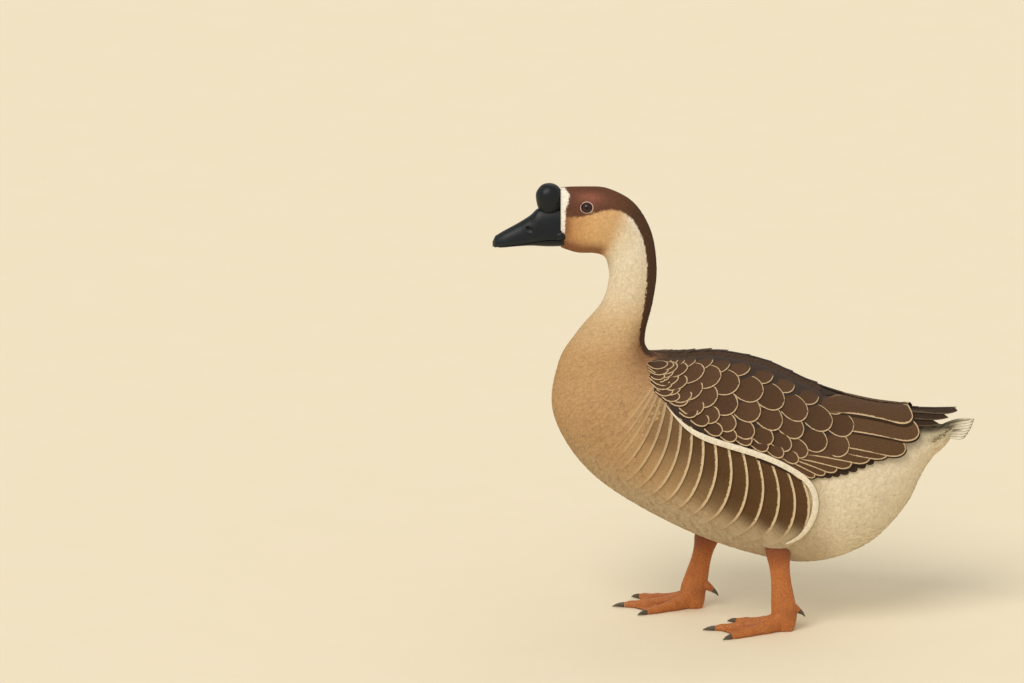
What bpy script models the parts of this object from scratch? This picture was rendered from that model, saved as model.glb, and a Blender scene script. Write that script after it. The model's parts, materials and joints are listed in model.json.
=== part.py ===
# A life-size African goose, standing with its right foot ahead of its left.
# Metres, +Z up, bill towards -X, the bird's left side towards -Y.
# The origin is on the floor, midway between the bill's tip and the tail's tip.

import math

import bmesh
import bpy
import numpy as np
from mathutils import Vector

# Gap between nodes that touch, and how far one node's hollow is grown past its neighbour.
GAP = 0.0003
CLEAR = 0.00045

# The bird is one body from bill to tail root, cut into nodes at these stations.
# Each row is one cross-section: the point on the crown, nape or back (x, z), the point on
# the throat, breast or belly (x, z), half the width, and how far the widest part sits low.
BODY = np.array((
    (-0.2855, 0.7364, -0.2855, 0.6346, 0.0210, 0.05),  # border of the bill
    (-0.2450, 0.7372, -0.2582, 0.6266, 0.0300, 0.18),  # eye
    (-0.2071, 0.7338, -0.2302, 0.6258, 0.0340, 0.20),  # cheek
    (-0.1642, 0.7091, -0.2137, 0.6198, 0.0350, 0.12),  # nape turn
    (-0.1361, 0.6606, -0.2071, 0.6028, 0.0340, 0.02),  # top of the neck
    (-0.1270, 0.5994, -0.2062, 0.5790, 0.0330, 0.00),  # upper neck
    (-0.1328, 0.5450, -0.2186, 0.5399, 0.0350, 0.00),  # middle of the neck
    (-0.1452, 0.4923, -0.2582, 0.4906, 0.0490, 0.02),  # base of the neck
    (-0.1444, 0.4668, -0.2896, 0.4362, 0.0700, 0.05),  # top of the breast
    (-0.1295, 0.4532, -0.2962, 0.3495, 0.0950, 0.05),  # shoulders
    (-0.0883, 0.4520, -0.2335, 0.2525, 0.1140, 0.03),  # breast
    (-0.0223, 0.4545, -0.1081, 0.1709, 0.1240, 0.00),  # keel
    (0.0520, 0.4392, 0.0190, 0.1199, 0.1260, 0.00),    # belly
    (0.1180, 0.4080, 0.1295, 0.1020, 0.1210, 0.00),    # paunch
    (0.1840, 0.3785, 0.2219, 0.1318, 0.1060, 0.00),    # vent
    (0.2417, 0.3565, 0.2830, 0.1930, 0.0800, 0.00),    # rump
    (0.2830, 0.3420, 0.3143, 0.2542, 0.0570, 0.00),    # tail coverts
    (0.3077, 0.3370, 0.3325, 0.2814, 0.0450, 0.00),    # root of the tail
))
NECK_TOP, NECK_MIDDLE, BREAST_TOP, TAIL_ROOT = 4, 6, 8, 17

# The folded wings lie on this bed: the body as far as the vent, then on over the rump.
BED = np.vstack((BODY[:15], (
    (0.2450, 0.3615, 0.2620, 0.2000, 0.0820, 0.00),
    (0.3000, 0.3555, 0.3100, 0.2600, 0.0560, 0.00),
    (0.3400, 0.3545, 0.3450, 0.3060, 0.0340, 0.00),
    (0.3640, 0.3550, 0.3660, 0.3380, 0.0180, 0.00),
)))
WING_FRONT, WING_TIP = 9.45, 18.0

# The tail goes on from the body's last station: coverts first, then the thin fan of feathers.
TAIL = np.vstack((BODY[TAIL_ROOT:], (
    (0.3220, 0.3340, 0.3420, 0.2900, 0.0430, 0.00),
    (0.3380, 0.3320, 0.3520, 0.3010, 0.0390, 0.00),
    (0.3520, 0.3300, 0.3610, 0.3130, 0.0270, 0.00),
)))

# Bill: x, top and cutting edge of the upper half, and half its width.
UPPER_BILL = np.array((
    (-0.2858, 0.7016, 0.6506, 0.0205),
    (-0.3061, 0.7016, 0.6515, 0.0210),
    (-0.3226, 0.7000, 0.6489, 0.0205),
    (-0.3358, 0.6880, 0.6464, 0.0195),
    (-0.3523, 0.6770, 0.6438, 0.0180),
    (-0.3688, 0.6676, 0.6413, 0.0165),
    (-0.3820, 0.6602, 0.6392, 0.0145),
    (-0.3919, 0.6535, 0.6372, 0.0110),
    (-0.3975, 0.6460, 0.6357, 0.0055),
))
BILL_TIP_X = -0.3985
# Lower half: x, its underside, and half its width. Its top follows the upper cutting edge.
LOWER_BILL = np.array((
    (-0.2858, 0.6352, 0.0190),
    (-0.3061, 0.6366, 0.0190),
    (-0.3358, 0.6384, 0.0172),
    (-0.3605, 0.6372, 0.0150),
    (-0.3800, 0.6355, 0.0125),
    (-0.3880, 0.6352, 0.0080),
))
MOUTH_GAP = 0.0008
# How deep the upper half bows under its edge, how square its sides are, and its last ring's size.
BILL_UNDER, BILL_SQUARE, BILL_END = 0.001, 0.85, 0.55
NOSTRIL_CENTRE = (-0.3370, 0.0170, 0.6690)
NOSTRIL_RADII = (0.0062, 0.0042, 0.0026)

KNOB_CENTRE = (-0.3042, 0.0, 0.7212)
KNOB_RADII = (0.0225, 0.0195, 0.0225)

EYE_CENTRE_X, EYE_CENTRE_Y, EYE_CENTRE_Z = -0.2417, 0.0168, 0.7085
EYE_RADIUS = 0.0110
# The eye looks outwards, this much forward and this far up.
EYE_FORWARD, EYE_TILT = 0.12, math.radians(17)
LID_RADIUS, LID_THICK, LID_OUT = 0.0090, 0.0015, 0.0074
LID_STEPS, LID_SIDES = 16, 6

# Each leg: its side (-1 is the bird's left), hock, ankle, and the angle that its toes turn out.
LEGS = {
    "left": {"side": -1, "hock": (0.0735, 0.1400), "ankle": (0.0845, 0.0300), "turn": 1},
    "right": {"side": 1, "hock": (-0.0405, 0.1260), "ankle": (-0.0640, 0.0300), "turn": 1},
}
HIP_OUT = 0.072
# Thigh, from its cuff round the hock up into the flank: how far forward, out and up from the
# hock, and its radii fore and aft and across.
THIGH = np.array((
    (0.000, 0.000, -0.008, 0.0230, 0.0150),
    (0.001, 0.001, 0.006, 0.0270, 0.0190),
    (0.005, 0.006, 0.028, 0.0360, 0.0270),
    (0.012, 0.010, 0.060, 0.0470, 0.0310),
    (0.020, 0.006, 0.095, 0.0540, 0.0280),
))
# Shank, from the hock to the top of the foot: share of the way, radii fore and aft and across.
SHANK = np.array((
    (0.00, 0.0208, 0.0130),
    (0.12, 0.0205, 0.0129),
    (0.30, 0.0184, 0.0112),
    (0.50, 0.0168, 0.0102),
    (0.75, 0.0168, 0.0102),
    (1.00, 0.0185, 0.0112),
))
# Foot: how far over the ankle its top and its second ring are, how high its fourth ring is as a
# share of the ankle, and the radii of its five rings.
FOOT_HEIGHT, FOOT_MIDDLE, FOOT_LOW = 0.036, 0.017, 0.45
FOOT_RADII = ((0.0185, 0.0112), (0.0205, 0.0122), (0.0215, 0.0132), (0.0200, 0.0135), (0.0165, 0.0120))

# Toes by their number: angle from the middle toe, outwards, length to the claw, and claw length.
TOES = {
    2: {"spread": -31, "length": 0.090, "claw": 0.017},
    3: {"spread": 0, "length": 0.114, "claw": 0.020},
    4: {"spread": 31, "length": 0.104, "claw": 0.016},
}
TOE_END = 0.0046
# A toe from the ankle on: share of its length, height of its middle, radii upwards and across.
TOE_SHAPE = np.array((
    (0.00, 0.0185, 0.0185, 0.0110),
    (0.15, 0.0150, 0.0150, 0.0098),
    (0.35, 0.0105, 0.0105, 0.0091),
    (0.60, 0.0080, 0.0080, 0.0082),
    (0.85, TOE_END, 0.0062, 0.0066),
    (1.00, TOE_END, TOE_END, TOE_END),
))
# A claw: share of its length, and its size as a share of the toe's end.
CLAW_SHAPE = np.array(((0, 0.98), (0.12, 0.94), (0.40, 0.78), (0.70, 0.50), (1.0, 0.16)))
CLAW_TIP, CLAW_FLAT = 0.0012, 0.9
# Hind toe: how steeply it points down, how far inwards, where it starts over the foot's second
# ring, and its rings by the way along it and their radii. Then its claw.
HIND_SLOPE, HIND_INWARD, HIND_START = math.radians(36), 0.12, 0.002
HIND_TOE = np.array((
    (-0.004, 0.0095, 0.0070),
    (0.018, 0.0075, 0.0060),
    (0.031, 0.0056, 0.0050),
    (0.037, 0.0042, 0.0040),
))
HIND_CLAW, HIND_CLAW_RADIUS, HIND_CLAW_DROP = 0.012, 0.0039, 0.003
HIND_CLAW_SHAPE = np.array(((0, 1.0), (0.15, 0.93), (0.55, 0.60), (1.0, 0.18)))
# Web: where along the toes it starts and ends, how far its front edge is hollowed, its height and
# half its thickness, and how much of the toes' height it takes up beside them.
WEB_START, WEB_END, WEB_HOLLOW = 0.08, 0.93, 0.20
WEB_HEIGHT, WEB_HALF, WEB_RISE = 0.0035, 0.0013, 0.25

# The folded wing's core by station: its upper and lower edge, in degrees from the back, its
# height over the body and the depth of its inner side under it.
CORE_TOP = ((9.45, 43), (9.8, 22), (10.4, 13), (11.5, 11), (15, 13), (16.3, 24))
CORE_LOW = ((9.45, 49), (9.8, 59), (10.4, 67), (11.2, 72), (12, 76), (13, 78), (14, 75), (15, 67), (16.3, 46))
CORE_HEIGHT = ((9.45, 0.0026), (9.9, 0.0046), (11, 0.0054), (13, 0.0060), (15, 0.0070), (16.3, 0.0040))
CORE_DEPTH = ((9.45, 0.010), (14, 0.010), (15.2, 0.004), (16.3, 0.001))
CORE_RIM = 0.0020

# Scapulars and coverts in tiers from the shoulder back: where a tier is rooted along the body,
# how far its feathers reach along it, and half the width of one.
TIERS = np.array((
    (9.62, 0.80, 0.0170),
    (10.08, 0.82, 0.0195),
    (10.58, 0.80, 0.0215),
    (11.08, 0.76, 0.0230),
    (11.60, 0.72, 0.0235),
    (12.16, 0.68, 0.0235),
))
# A covert: share of its length, share of its width, and how far it stands off the core there.
COVERT_SHAPE = np.array(((0, 0.70, -0.0024), (0.45, 1.0, 0.0010), (0.82, 0.86, 0.0029), (1.0, 0.36, 0.0031)))
COVERT_TURN, COVERT_ROLL, COVERT_BOW = 0.05, 0.0011, 0.0008
# A tier has a feather for every so many half widths round a body of this radius, set off by one
# of these shares of a step in turn.
COVERT_STEP, BED_RADIUS, TIER_SHIFTS = 1.72, 0.145, (0.70, 0.30)
# Flight feathers, seen from the side: root (x, z), tip (x, z), half the width, and how high the
# tip stands over the bed. Tertials lie over secondaries, and these over primaries.
TERTIALS = (
    (0.128, 0.388, 0.2900, 0.3600, 0.0150, 0.0135),
    (0.120, 0.366, 0.3020, 0.3370, 0.0155, 0.0118),
    (0.110, 0.345, 0.2900, 0.3160, 0.0150, 0.0101),
    (0.098, 0.329, 0.2500, 0.3010, 0.0140, 0.0084),
)
SECONDARIES = (
    (0.085, 0.319, 0.2200, 0.2930, 0.0120, 0.0067),
    (0.070, 0.313, 0.1900, 0.2865, 0.0115, 0.0067),
    (0.052, 0.308, 0.1630, 0.2800, 0.0110, 0.0067),
    (0.034, 0.303, 0.1380, 0.2740, 0.0105, 0.0067),
)
PRIMARIES = (
    (0.212, 0.365, 0.3640, 0.3555, 0.0090, 0.0085),
    (0.206, 0.355, 0.3500, 0.3470, 0.0095, 0.0066),
    (0.200, 0.345, 0.3340, 0.3380, 0.0095, 0.0047),
    (0.194, 0.335, 0.3180, 0.3280, 0.0095, 0.0028),
)
# Height of the first root in each of these groups, and how much lower each next one lies.
ROOT_HEIGHTS, ROOT_STEP = (0.0035, 0.0030, 0.0035), 0.0004
# A flight feather: share of its length and share of its width, how far it sags, how it rolls.
QUILL_SHAPE = np.array(((0, 0.60), (0.45, 1.0), (0.86, 0.90), (1.0, 0.32)))
QUILL_SAG, QUILL_ROLL = 0.004, 0.0007
# A vane's half thickness along its edges and along its shaft.
VANE_EDGE, VANE_SHAFT = 0.00027, 0.00060

# Tail: feathers on each side of the middle one, the pivot of their fan (x, z), its step, how far
# from the pivot a feather starts, its length, how much shorter each next one is, and the slope.
TAIL_FEATHERS = 5
TAIL_PIVOT, TAIL_STEP = (0.3180, 0.3160), 5.6
TAIL_START, TAIL_LENGTH, TAIL_SHORTER = 0.0150, 0.0655, 0.0012
TAIL_SLOPE = 0.0268 / 0.0805
# Half the width of a tail feather, how much lower each next one lies at its root and its tip, how
# much lower the right ones lie, and how they roll and bow.
TAIL_WIDTH, TAIL_DROP, TAIL_DROOP, TAIL_SHIFT = 0.0105, 0.0030, 0.0014, 0.0007
TAIL_ROLL, TAIL_BOW = 0.16, 0.03
TAIL_SHAPE = np.array(((0, 0.55), (0.5, 1.0), (0.88, 0.85), (1.0, 0.35)))

COLOURS = {
    "crown brown": ((0.098, 0.046, 0.026), 0.80),
    "neck cream": ((0.62, 0.47, 0.30), 0.85),
    "breast buff": ((0.42, 0.25, 0.12), 0.85),
    "belly grey buff": ((0.50, 0.40, 0.27), 0.85),
    "wing brown": ((0.085, 0.050, 0.028), 0.75),
    "tail white": ((0.70, 0.62, 0.48), 0.80),
    "bill black": ((0.014, 0.016, 0.017), 0.38),
    "leg orange": ((0.52, 0.135, 0.032), 0.55),
    "claw brown": ((0.070, 0.043, 0.026), 0.45),
    "eye brown": ((0.030, 0.012, 0.008), 0.08),
}


def clear_scene():
    for obj in list(bpy.data.objects):
        bpy.data.objects.remove(obj, do_unlink=True)


def collection(name, helper=False):
    made = bpy.data.collections.new(name)
    bpy.context.scene.collection.children.link(made)
    made.hide_render = helper
    return made


def material(name):
    colour, roughness = COLOURS[name]
    made = bpy.data.materials.get(name)
    if made is None:
        made = bpy.data.materials.new(name)
        made.use_nodes = True
        shader = made.node_tree.nodes["Principled BSDF"]
        shader.inputs["Base Color"].default_value = (*colour, 1.0)
        shader.inputs["Roughness"].default_value = roughness
        shader.inputs["Metallic"].default_value = 0.0
    return made


def curve_through(rows, u):
    """Catmull-Rom curve through the rows of a table, read at the positions u."""
    u = np.clip(np.atleast_1d(np.asarray(u, float)), 0, len(rows) - 1)
    i = np.minimum(u.astype(int), len(rows) - 2)
    t = (u - i)[:, None]
    padded = np.vstack((2 * rows[0] - rows[1], rows, 2 * rows[-1] - rows[-2]))
    a, b, c, d = padded[i], padded[i + 1], padded[i + 2], padded[i + 3]
    return b + 0.5 * t * (c - a + t * (2 * a - 5 * b + 4 * c - d + t * (3 * (b - c) + d - a)))


def surface(table, u, angle, height=0.0):
    """Points on a body table. The angle runs from the back (0) round the left side to the belly."""
    u, angle, height = np.broadcast_arrays(*map(np.asarray, (u, angle, height)))
    rows = curve_through(table, u.ravel()).reshape(*u.shape, 6)
    back_x, back_z, belly_x, belly_z, width, low = np.moveaxis(rows, -1, 0)
    half_x, half_z = (back_x - belly_x) / 2, (back_z - belly_z) / 2
    half = np.hypot(half_x, half_z)
    up = np.cos(angle) - low * np.sin(angle) ** 2
    up = up * (1 + height / half)
    x = (back_x + belly_x) / 2 + half_x * up
    z = (back_z + belly_z) / 2 + half_z * up
    y = -(width + height) * np.sin(angle)
    return np.stack((x, y, z), -1)


def around(count):
    return np.linspace(0, 2 * math.pi, count, endpoint=False)


def to_object(name, mesh, paint, where):
    obj = bpy.data.objects.new(name, mesh)
    where.objects.link(obj)
    mesh.materials.clear()
    mesh.materials.append(material(paint))
    mesh.shade_smooth()
    mesh.set_sharp_from_angle(angle=math.radians(45))
    return obj


def loft(name, rings, paint, where):
    """Closed solid through rings of equal count, with a fan of triangles to a centre at each end."""
    rings = np.asarray(rings, float)
    many, count = rings.shape[:2]
    points = np.vstack((rings.reshape(-1, 3), rings[0].mean(0), rings[-1].mean(0)))
    faces = []
    for i in range(many - 1):
        for k in range(count):
            n = (k + 1) % count
            a, b = i * count + k, i * count + n
            c, d = (i + 1) * count + n, (i + 1) * count + k
            faces += [(a, b, c), (a, c, d)]
    for k in range(count):
        n = (k + 1) % count
        faces.append((n, k, many * count))
        faces.append(((many - 1) * count + k, (many - 1) * count + n, many * count + 1))
    mesh = bpy.data.meshes.new(name)
    mesh.from_pydata(points, [], faces)
    bm = bmesh.new()
    bm.from_mesh(mesh)
    bmesh.ops.recalc_face_normals(bm, faces=bm.faces)
    if bm.calc_volume(signed=True) < 0:
        bmesh.ops.reverse_faces(bm, faces=bm.faces)
    bm.to_mesh(mesh)
    bm.free()
    return to_object(name, mesh, paint, where)


def ball(name, centre, radii, paint, where, segments=16, rows=10):
    mesh = bpy.data.meshes.new(name)
    bm = bmesh.new()
    bmesh.ops.create_uvsphere(bm, u_segments=segments, v_segments=rows, radius=1.0)
    bmesh.ops.scale(bm, vec=Vector(radii), verts=bm.verts)
    bmesh.ops.translate(bm, vec=Vector(centre), verts=bm.verts)
    bm.to_mesh(mesh)
    bm.free()
    return to_object(name, mesh, paint, where)


def evaluated_mesh(obj):
    graph = bpy.context.evaluated_depsgraph_get()
    return bpy.data.meshes.new_from_object(obj.evaluated_get(graph))


def apply_boolean(obj, operation, other=None, others=None):
    """Runs one Boolean on obj, applies it and removes the objects that it used."""
    modifier = obj.modifiers.new(operation.lower(), "BOOLEAN")
    modifier.operation = operation
    modifier.solver = "MANIFOLD"
    if others is not None:
        modifier.operand_type = "COLLECTION"
        modifier.collection = others
    else:
        modifier.object = other
    mesh = evaluated_mesh(obj)
    obj.modifiers.clear()
    obj.data = mesh
    for used in ([other] if others is None else list(others.objects)):
        bpy.data.objects.remove(used, do_unlink=True)
    if others is not None:
        bpy.data.collections.remove(others)
    return obj


def keep_largest(obj):
    """Drops every closed surface of a node but the largest, so that it stays one body."""
    bm = bmesh.new()
    bm.from_mesh(obj.data)
    left = set(bm.faces)
    bodies = []
    while left:
        reached = [left.pop()]
        body = list(reached)
        while reached:
            face = reached.pop()
            for edge in face.edges:
                for near in edge.link_faces:
                    if near in left:
                        left.remove(near)
                        reached.append(near)
                        body.append(near)
        bodies.append(body)
    bodies.sort(key=lambda faces: sum(f.calc_area() for f in faces), reverse=True)
    loose = [face for body in bodies[1:] for face in body]
    bmesh.ops.delete(bm, geom=loose, context="FACES")
    bm.to_mesh(obj.data)
    bm.free()
    obj.data.shade_smooth()
    obj.data.set_sharp_from_angle(angle=math.radians(45))
    return obj


def cap_shift(ring, inner):
    """Half a gap, square to a flat end ring and into the piece that it closes."""
    quarter = len(ring) // 4
    normal = np.cross(ring[quarter] - ring[0], ring[2 * quarter] - ring[0])
    normal /= np.linalg.norm(normal)
    return normal * (GAP / 2) * np.sign(normal @ (inner.mean(0) - ring.mean(0)))


def body_length(name, start, end, steps, count, paint, where, grow=0.0):
    """One length of the body, whose end faces stand half a gap back from the cut."""
    u = np.linspace(start, end, steps)
    rings = surface(BODY, u[:, None], around(count)[None, :], grow)
    if grow == 0:
        rings[0] += cap_shift(rings[0], rings[1])
        rings[-1] += cap_shift(rings[-1], rings[-2])
    return loft(name, rings, paint, where)


def make_torso(where):
    return body_length("torso", BREAST_TOP, TAIL_ROOT, 21, 28, "breast buff", where)


def torso_space(where):
    """The torso grown a little, to cut the pieces that lie on it."""
    return body_length("torso space", BREAST_TOP, TAIL_ROOT, 21, 28, "breast buff", where, CLEAR)


def make_neck(where):
    body_length("neck_upper", NECK_TOP, NECK_MIDDLE, 6, 24, "neck cream", where)
    body_length("neck_lower", NECK_MIDDLE, BREAST_TOP, 7, 24, "neck cream", where)


def eye_centre(side):
    return (EYE_CENTRE_X, side * EYE_CENTRE_Y, EYE_CENTRE_Z)


def lid_ring(name, side, where):
    """Rim of the lids: a torus that lies half sunk round the eye."""
    axis = Vector((-EYE_FORWARD, side * math.cos(EYE_TILT), math.sin(EYE_TILT))).normalized()
    across = axis.cross(Vector((0, 0, 1))).normalized()
    up = across.cross(axis)
    centre = Vector(eye_centre(side)) + axis * LID_OUT
    points = []
    for a in around(LID_STEPS):
        out = math.cos(a) * across + math.sin(a) * up
        for b in around(LID_SIDES):
            radius, rise = LID_RADIUS + LID_THICK * math.cos(b), LID_THICK * math.sin(b)
            points.append(centre + out * radius + axis * rise)
    faces = []
    for i in range(LID_STEPS):
        for k in range(LID_SIDES):
            here, onward, n = i * LID_SIDES, (i + 1) % LID_STEPS * LID_SIDES, (k + 1) % LID_SIDES
            faces.append((here + k, here + n, onward + n, onward + k))
    mesh = bpy.data.meshes.new(name)
    mesh.from_pydata(points, [], faces)
    bm = bmesh.new()
    bm.from_mesh(mesh)
    if bm.calc_volume(signed=True) < 0:
        bmesh.ops.reverse_faces(bm, faces=bm.faces)
    bm.to_mesh(mesh)
    bm.free()
    return to_object(name, mesh, "crown brown", where)


def make_head(where):
    head = body_length("head", 0, NECK_TOP, 12, 22, "crown brown", where)
    lids = collection("lids", helper=True)
    lid_ring("lid left", -1, lids)
    lid_ring("lid right", 1, lids)
    apply_boolean(head, "UNION", others=lids)
    sockets = collection("sockets", helper=True)
    grown = EYE_RADIUS + CLEAR
    ball("socket left", eye_centre(-1), (grown,) * 3, "eye brown", sockets)
    ball("socket right", eye_centre(1), (grown,) * 3, "eye brown", sockets)
    apply_boolean(head, "DIFFERENCE", others=sockets)
    keep_largest(head)
    ball("eye_left", eye_centre(-1), (EYE_RADIUS,) * 3, "eye brown", where)
    ball("eye_right", eye_centre(1), (EYE_RADIUS,) * 3, "eye brown", where)


def upper_bill_rings(grow=0.0, steps=13, count=18):
    u = np.linspace(0, len(UPPER_BILL) - 1, steps)
    x, top, edge, width = curve_through(UPPER_BILL, u).T[:, :, None]
    a = around(count)[None, :]
    rise = np.maximum(np.cos(a), 0) * (top - edge + grow) + np.minimum(np.cos(a), 0) * (BILL_UNDER + grow)
    y = -(width + grow) * np.sign(np.sin(a)) * np.abs(np.sin(a)) ** BILL_SQUARE
    return np.stack(np.broadcast_arrays(x, y, edge + rise), -1)


def make_bill(where):
    rings = upper_bill_rings()
    tip = rings[-1].mean(0) + (rings[-1] - rings[-1].mean(0)) * BILL_END
    tip[:, 0] = BILL_TIP_X
    bill = loft("bill_upper", np.vstack((rings, tip[None])), "bill black", where)
    pits = collection("nostril pits", helper=True)
    x, y, z = NOSTRIL_CENTRE
    for side in (-1, 1):
        ball(f"nostril pit {side}", (x, side * y, z), NOSTRIL_RADII, "bill black", pits, segments=12, rows=8)
    apply_boolean(bill, "DIFFERENCE", others=pits)
    keep_largest(bill)
    u = np.linspace(0, len(LOWER_BILL) - 1, 11)
    x, under, width = curve_through(LOWER_BILL, u).T[:, :, None]
    edge = np.interp(-x, -UPPER_BILL[:, 0], UPPER_BILL[:, 2]) - BILL_UNDER - MOUTH_GAP
    a = around(16)[None, :]
    z = edge + np.minimum(np.cos(a), 0) * (edge - under)
    y = -width * np.sin(a)
    loft("bill_lower", np.stack(np.broadcast_arrays(x, y, z), -1), "bill black", where)


def make_knob(where):
    """The knob is a ball seated on the bill and against the forehead, flat where it meets them."""
    knob = ball("knob", KNOB_CENTRE, KNOB_RADII, "bill black", where, 20, 12)
    for vertex in knob.data.vertices:
        vertex.co.x = min(vertex.co.x, UPPER_BILL[0, 0])
    space = collection("bill space", helper=True)
    rings = upper_bill_rings(GAP)
    rings[0, :, 0] += 0.002
    loft("bill space", rings, "bill black", space)
    apply_boolean(knob, "DIFFERENCE", others=space)
    keep_largest(knob)


def vane(name, grid, paint, where):
    """A feather from a grid of points, (steps along it, left edge to shaft to right edge).

    Both faces are split into triangles alike, so that they can't cross where the vane bends."""
    along = np.gradient(grid, axis=0)
    across = np.repeat((grid[:, 2] - grid[:, 0])[:, None], 3, axis=1)
    normal = np.cross(along, across)
    normal /= np.linalg.norm(normal, axis=2)[..., None]
    half = np.array((VANE_EDGE, VANE_SHAFT, VANE_EDGE))[None, :, None]
    steps = len(grid)
    top, under = (grid + normal * half).reshape(-1, 3), (grid - normal * half).reshape(-1, 3)
    many = len(top)
    faces = []
    for i in range(steps - 1):
        for k in range(2):
            p, q = 3 * i + k, 3 * i + k + 3
            for tri in ((p, p + 1, q + 1), (p, q + 1, q)):
                faces += [tri, tuple(many + n for n in reversed(tri))]
    left = [3 * i for i in range(steps)]
    right = [3 * i + 2 for i in reversed(range(steps))]
    rim = left + [3 * steps - 2] + right + [1]
    for p, q in zip(rim, rim[1:] + rim[:1]):
        faces += [(p, q, many + q), (p, many + q, many + p)]
    mesh = bpy.data.meshes.new(name)
    mesh.from_pydata(np.vstack((top, under)), [], faces)
    bm = bmesh.new()
    bm.from_mesh(mesh)
    bmesh.ops.recalc_face_normals(bm, faces=bm.faces)
    if bm.calc_volume(signed=True) < 0:
        bmesh.ops.reverse_faces(bm, faces=bm.faces)
    bm.to_mesh(mesh)
    bm.free()
    return to_object(name, mesh, paint, where)


def on_bed(x, z):
    """Where on the bed's left side a point seen from the side lies: (station, angle)."""
    stations, angles = np.arange(WING_FRONT, WING_TIP, 0.1), np.radians(np.arange(4, 92, 3))
    u, angle = np.meshgrid(stations, angles, indexing="ij")
    seen = surface(BED, u, angle)[..., (0, 2)]
    at = np.unravel_index(np.argmin(((seen - (x, z)) ** 2).sum(-1)), u.shape)
    place = np.array((u[at], angle[at]))
    step = np.diag((1e-4, 1e-4))
    for _ in range(6):
        here = surface(BED, *place)[[0, 2]]
        slopes = np.stack([(surface(BED, *(place + d))[[0, 2]] - here) / 1e-4 for d in step], 1)
        place = place + np.clip(np.linalg.lstsq(slopes, (x, z) - here, rcond=None)[0], -0.3, 0.3)
        place = np.clip(place, (WING_FRONT, 0.05), (WING_TIP, 1.6))
    return place


def flight_feather(name, row, height, side, where):
    """One long feather along the bed, from its root in the wing's core out to its tip."""
    root_x, root_z, tip_x, tip_z, half_width, rise = row
    s, share = QUILL_SHAPE.T
    wide = half_width * share
    root, tip = np.array((root_x, root_z)), np.array((tip_x, tip_z))
    way = (tip - root) / np.linalg.norm(tip - root)
    down = np.array((way[1], -way[0]))
    sag = QUILL_SAG * np.sin(math.pi * s)
    grid = np.empty((len(s), 3, 3))
    for i in range(len(s)):
        for k, v in enumerate((-1, 0, 1)):
            seen = root + (tip - root) * s[i] + down * (v * wide[i] - sag[i])
            lift = height + (rise - height) * s[i] - QUILL_ROLL * v
            grid[i, k] = surface(BED, *on_bed(*seen), lift)
    grid[..., 1] *= -side
    return vane(name, grid, "wing brown", where)


def by_station(table, u):
    stations, values = zip(*table)
    return np.interp(u, stations, values)


def wing_edges(u):
    """Angles of the upper and lower edge of the wing's core on the bed."""
    return np.radians(by_station(CORE_TOP, u)), np.radians(by_station(CORE_LOW, u))


def wing_core(name, side, where):
    """The folded arm and hand under the feathers, set a little into the body."""
    u = np.concatenate(((WING_FRONT,), np.arange(9.8, 15.9, 0.45), (CORE_TOP[-1][0],)))
    q = np.linspace(0, 1, 8)
    top, low = wing_edges(u)
    angle = top[:, None] + (low - top)[:, None] * q[None, :]
    rim = CORE_RIM + (by_station(CORE_HEIGHT, u)[:, None] - CORE_RIM) * np.sin(math.pi * q[None, :]) ** 0.5
    outer = surface(BED, u[:, None], angle, rim)
    inner = surface(BED, u[:, None], angle[:, ::-1], -by_station(CORE_DEPTH, u)[:, None])
    rings = np.concatenate((outer, inner), 1)
    rings[..., 1] *= -side
    return loft(name, rings, "wing brown", where)


def covert(name, u, reach, angle, half_width, side, where):
    """A covert or scapular: rooted in the core, its round tip standing over the next tier."""
    s, share, lift = COVERT_SHAPE.T
    v = np.array((-1.0, 0.0, 1.0))
    at = u + reach * s
    small = 0.05
    round_body = np.linalg.norm(surface(BED, at, angle + small) - surface(BED, at, angle), axis=1) / small
    turn = angle + COVERT_TURN * s[:, None] + v[None, :] * (half_width * share / round_body)[:, None]
    height = (by_station(CORE_HEIGHT, at) + lift)[:, None] - COVERT_ROLL * v - COVERT_BOW * v ** 2
    grid = surface(BED, at[:, None], turn, height)
    grid[..., 1] *= -side
    return vane(name, grid, "wing brown", where)


def make_wing(side, name, where, torso, tail):
    """The folded wing: a thin core with coverts in tiers, and the flight feathers fanned behind."""
    wing = wing_core(name, side, where)
    feathers = collection("feathers", helper=True)
    for row, (u, reach, half_width) in enumerate(TIERS):
        top, low = wing_edges(u + reach / 2)
        count = max(3, round(BED_RADIUS * (low - top) / (COVERT_STEP * half_width)))
        places = (np.arange(count) + TIER_SHIFTS[row % 2]) / count
        for k, place in enumerate(places):
            covert(f"covert {row} {k}", u, reach, top + (low - top) * place, half_width, side, feathers)
    for group, height in zip((TERTIALS, SECONDARIES, PRIMARIES), ROOT_HEIGHTS):
        for k, row in enumerate(group):
            flight_feather(f"feather {k}", row, height - ROOT_STEP * k, side, feathers)
    apply_boolean(wing, "UNION", others=feathers)
    cut_by(wing, torso, tail)


def tail_form(name, where, grow=0.0):
    """The tail coverts: a mound that closes the body and thins out over the feathers' roots."""
    u = np.linspace(0, len(TAIL) - 1, 8)
    rings = surface(TAIL, u[:, None], around(20)[None, :], grow)
    if grow == 0:
        rings[0] += cap_shift(rings[0], rings[1])
    return loft(name, rings, "tail white", where)


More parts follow.
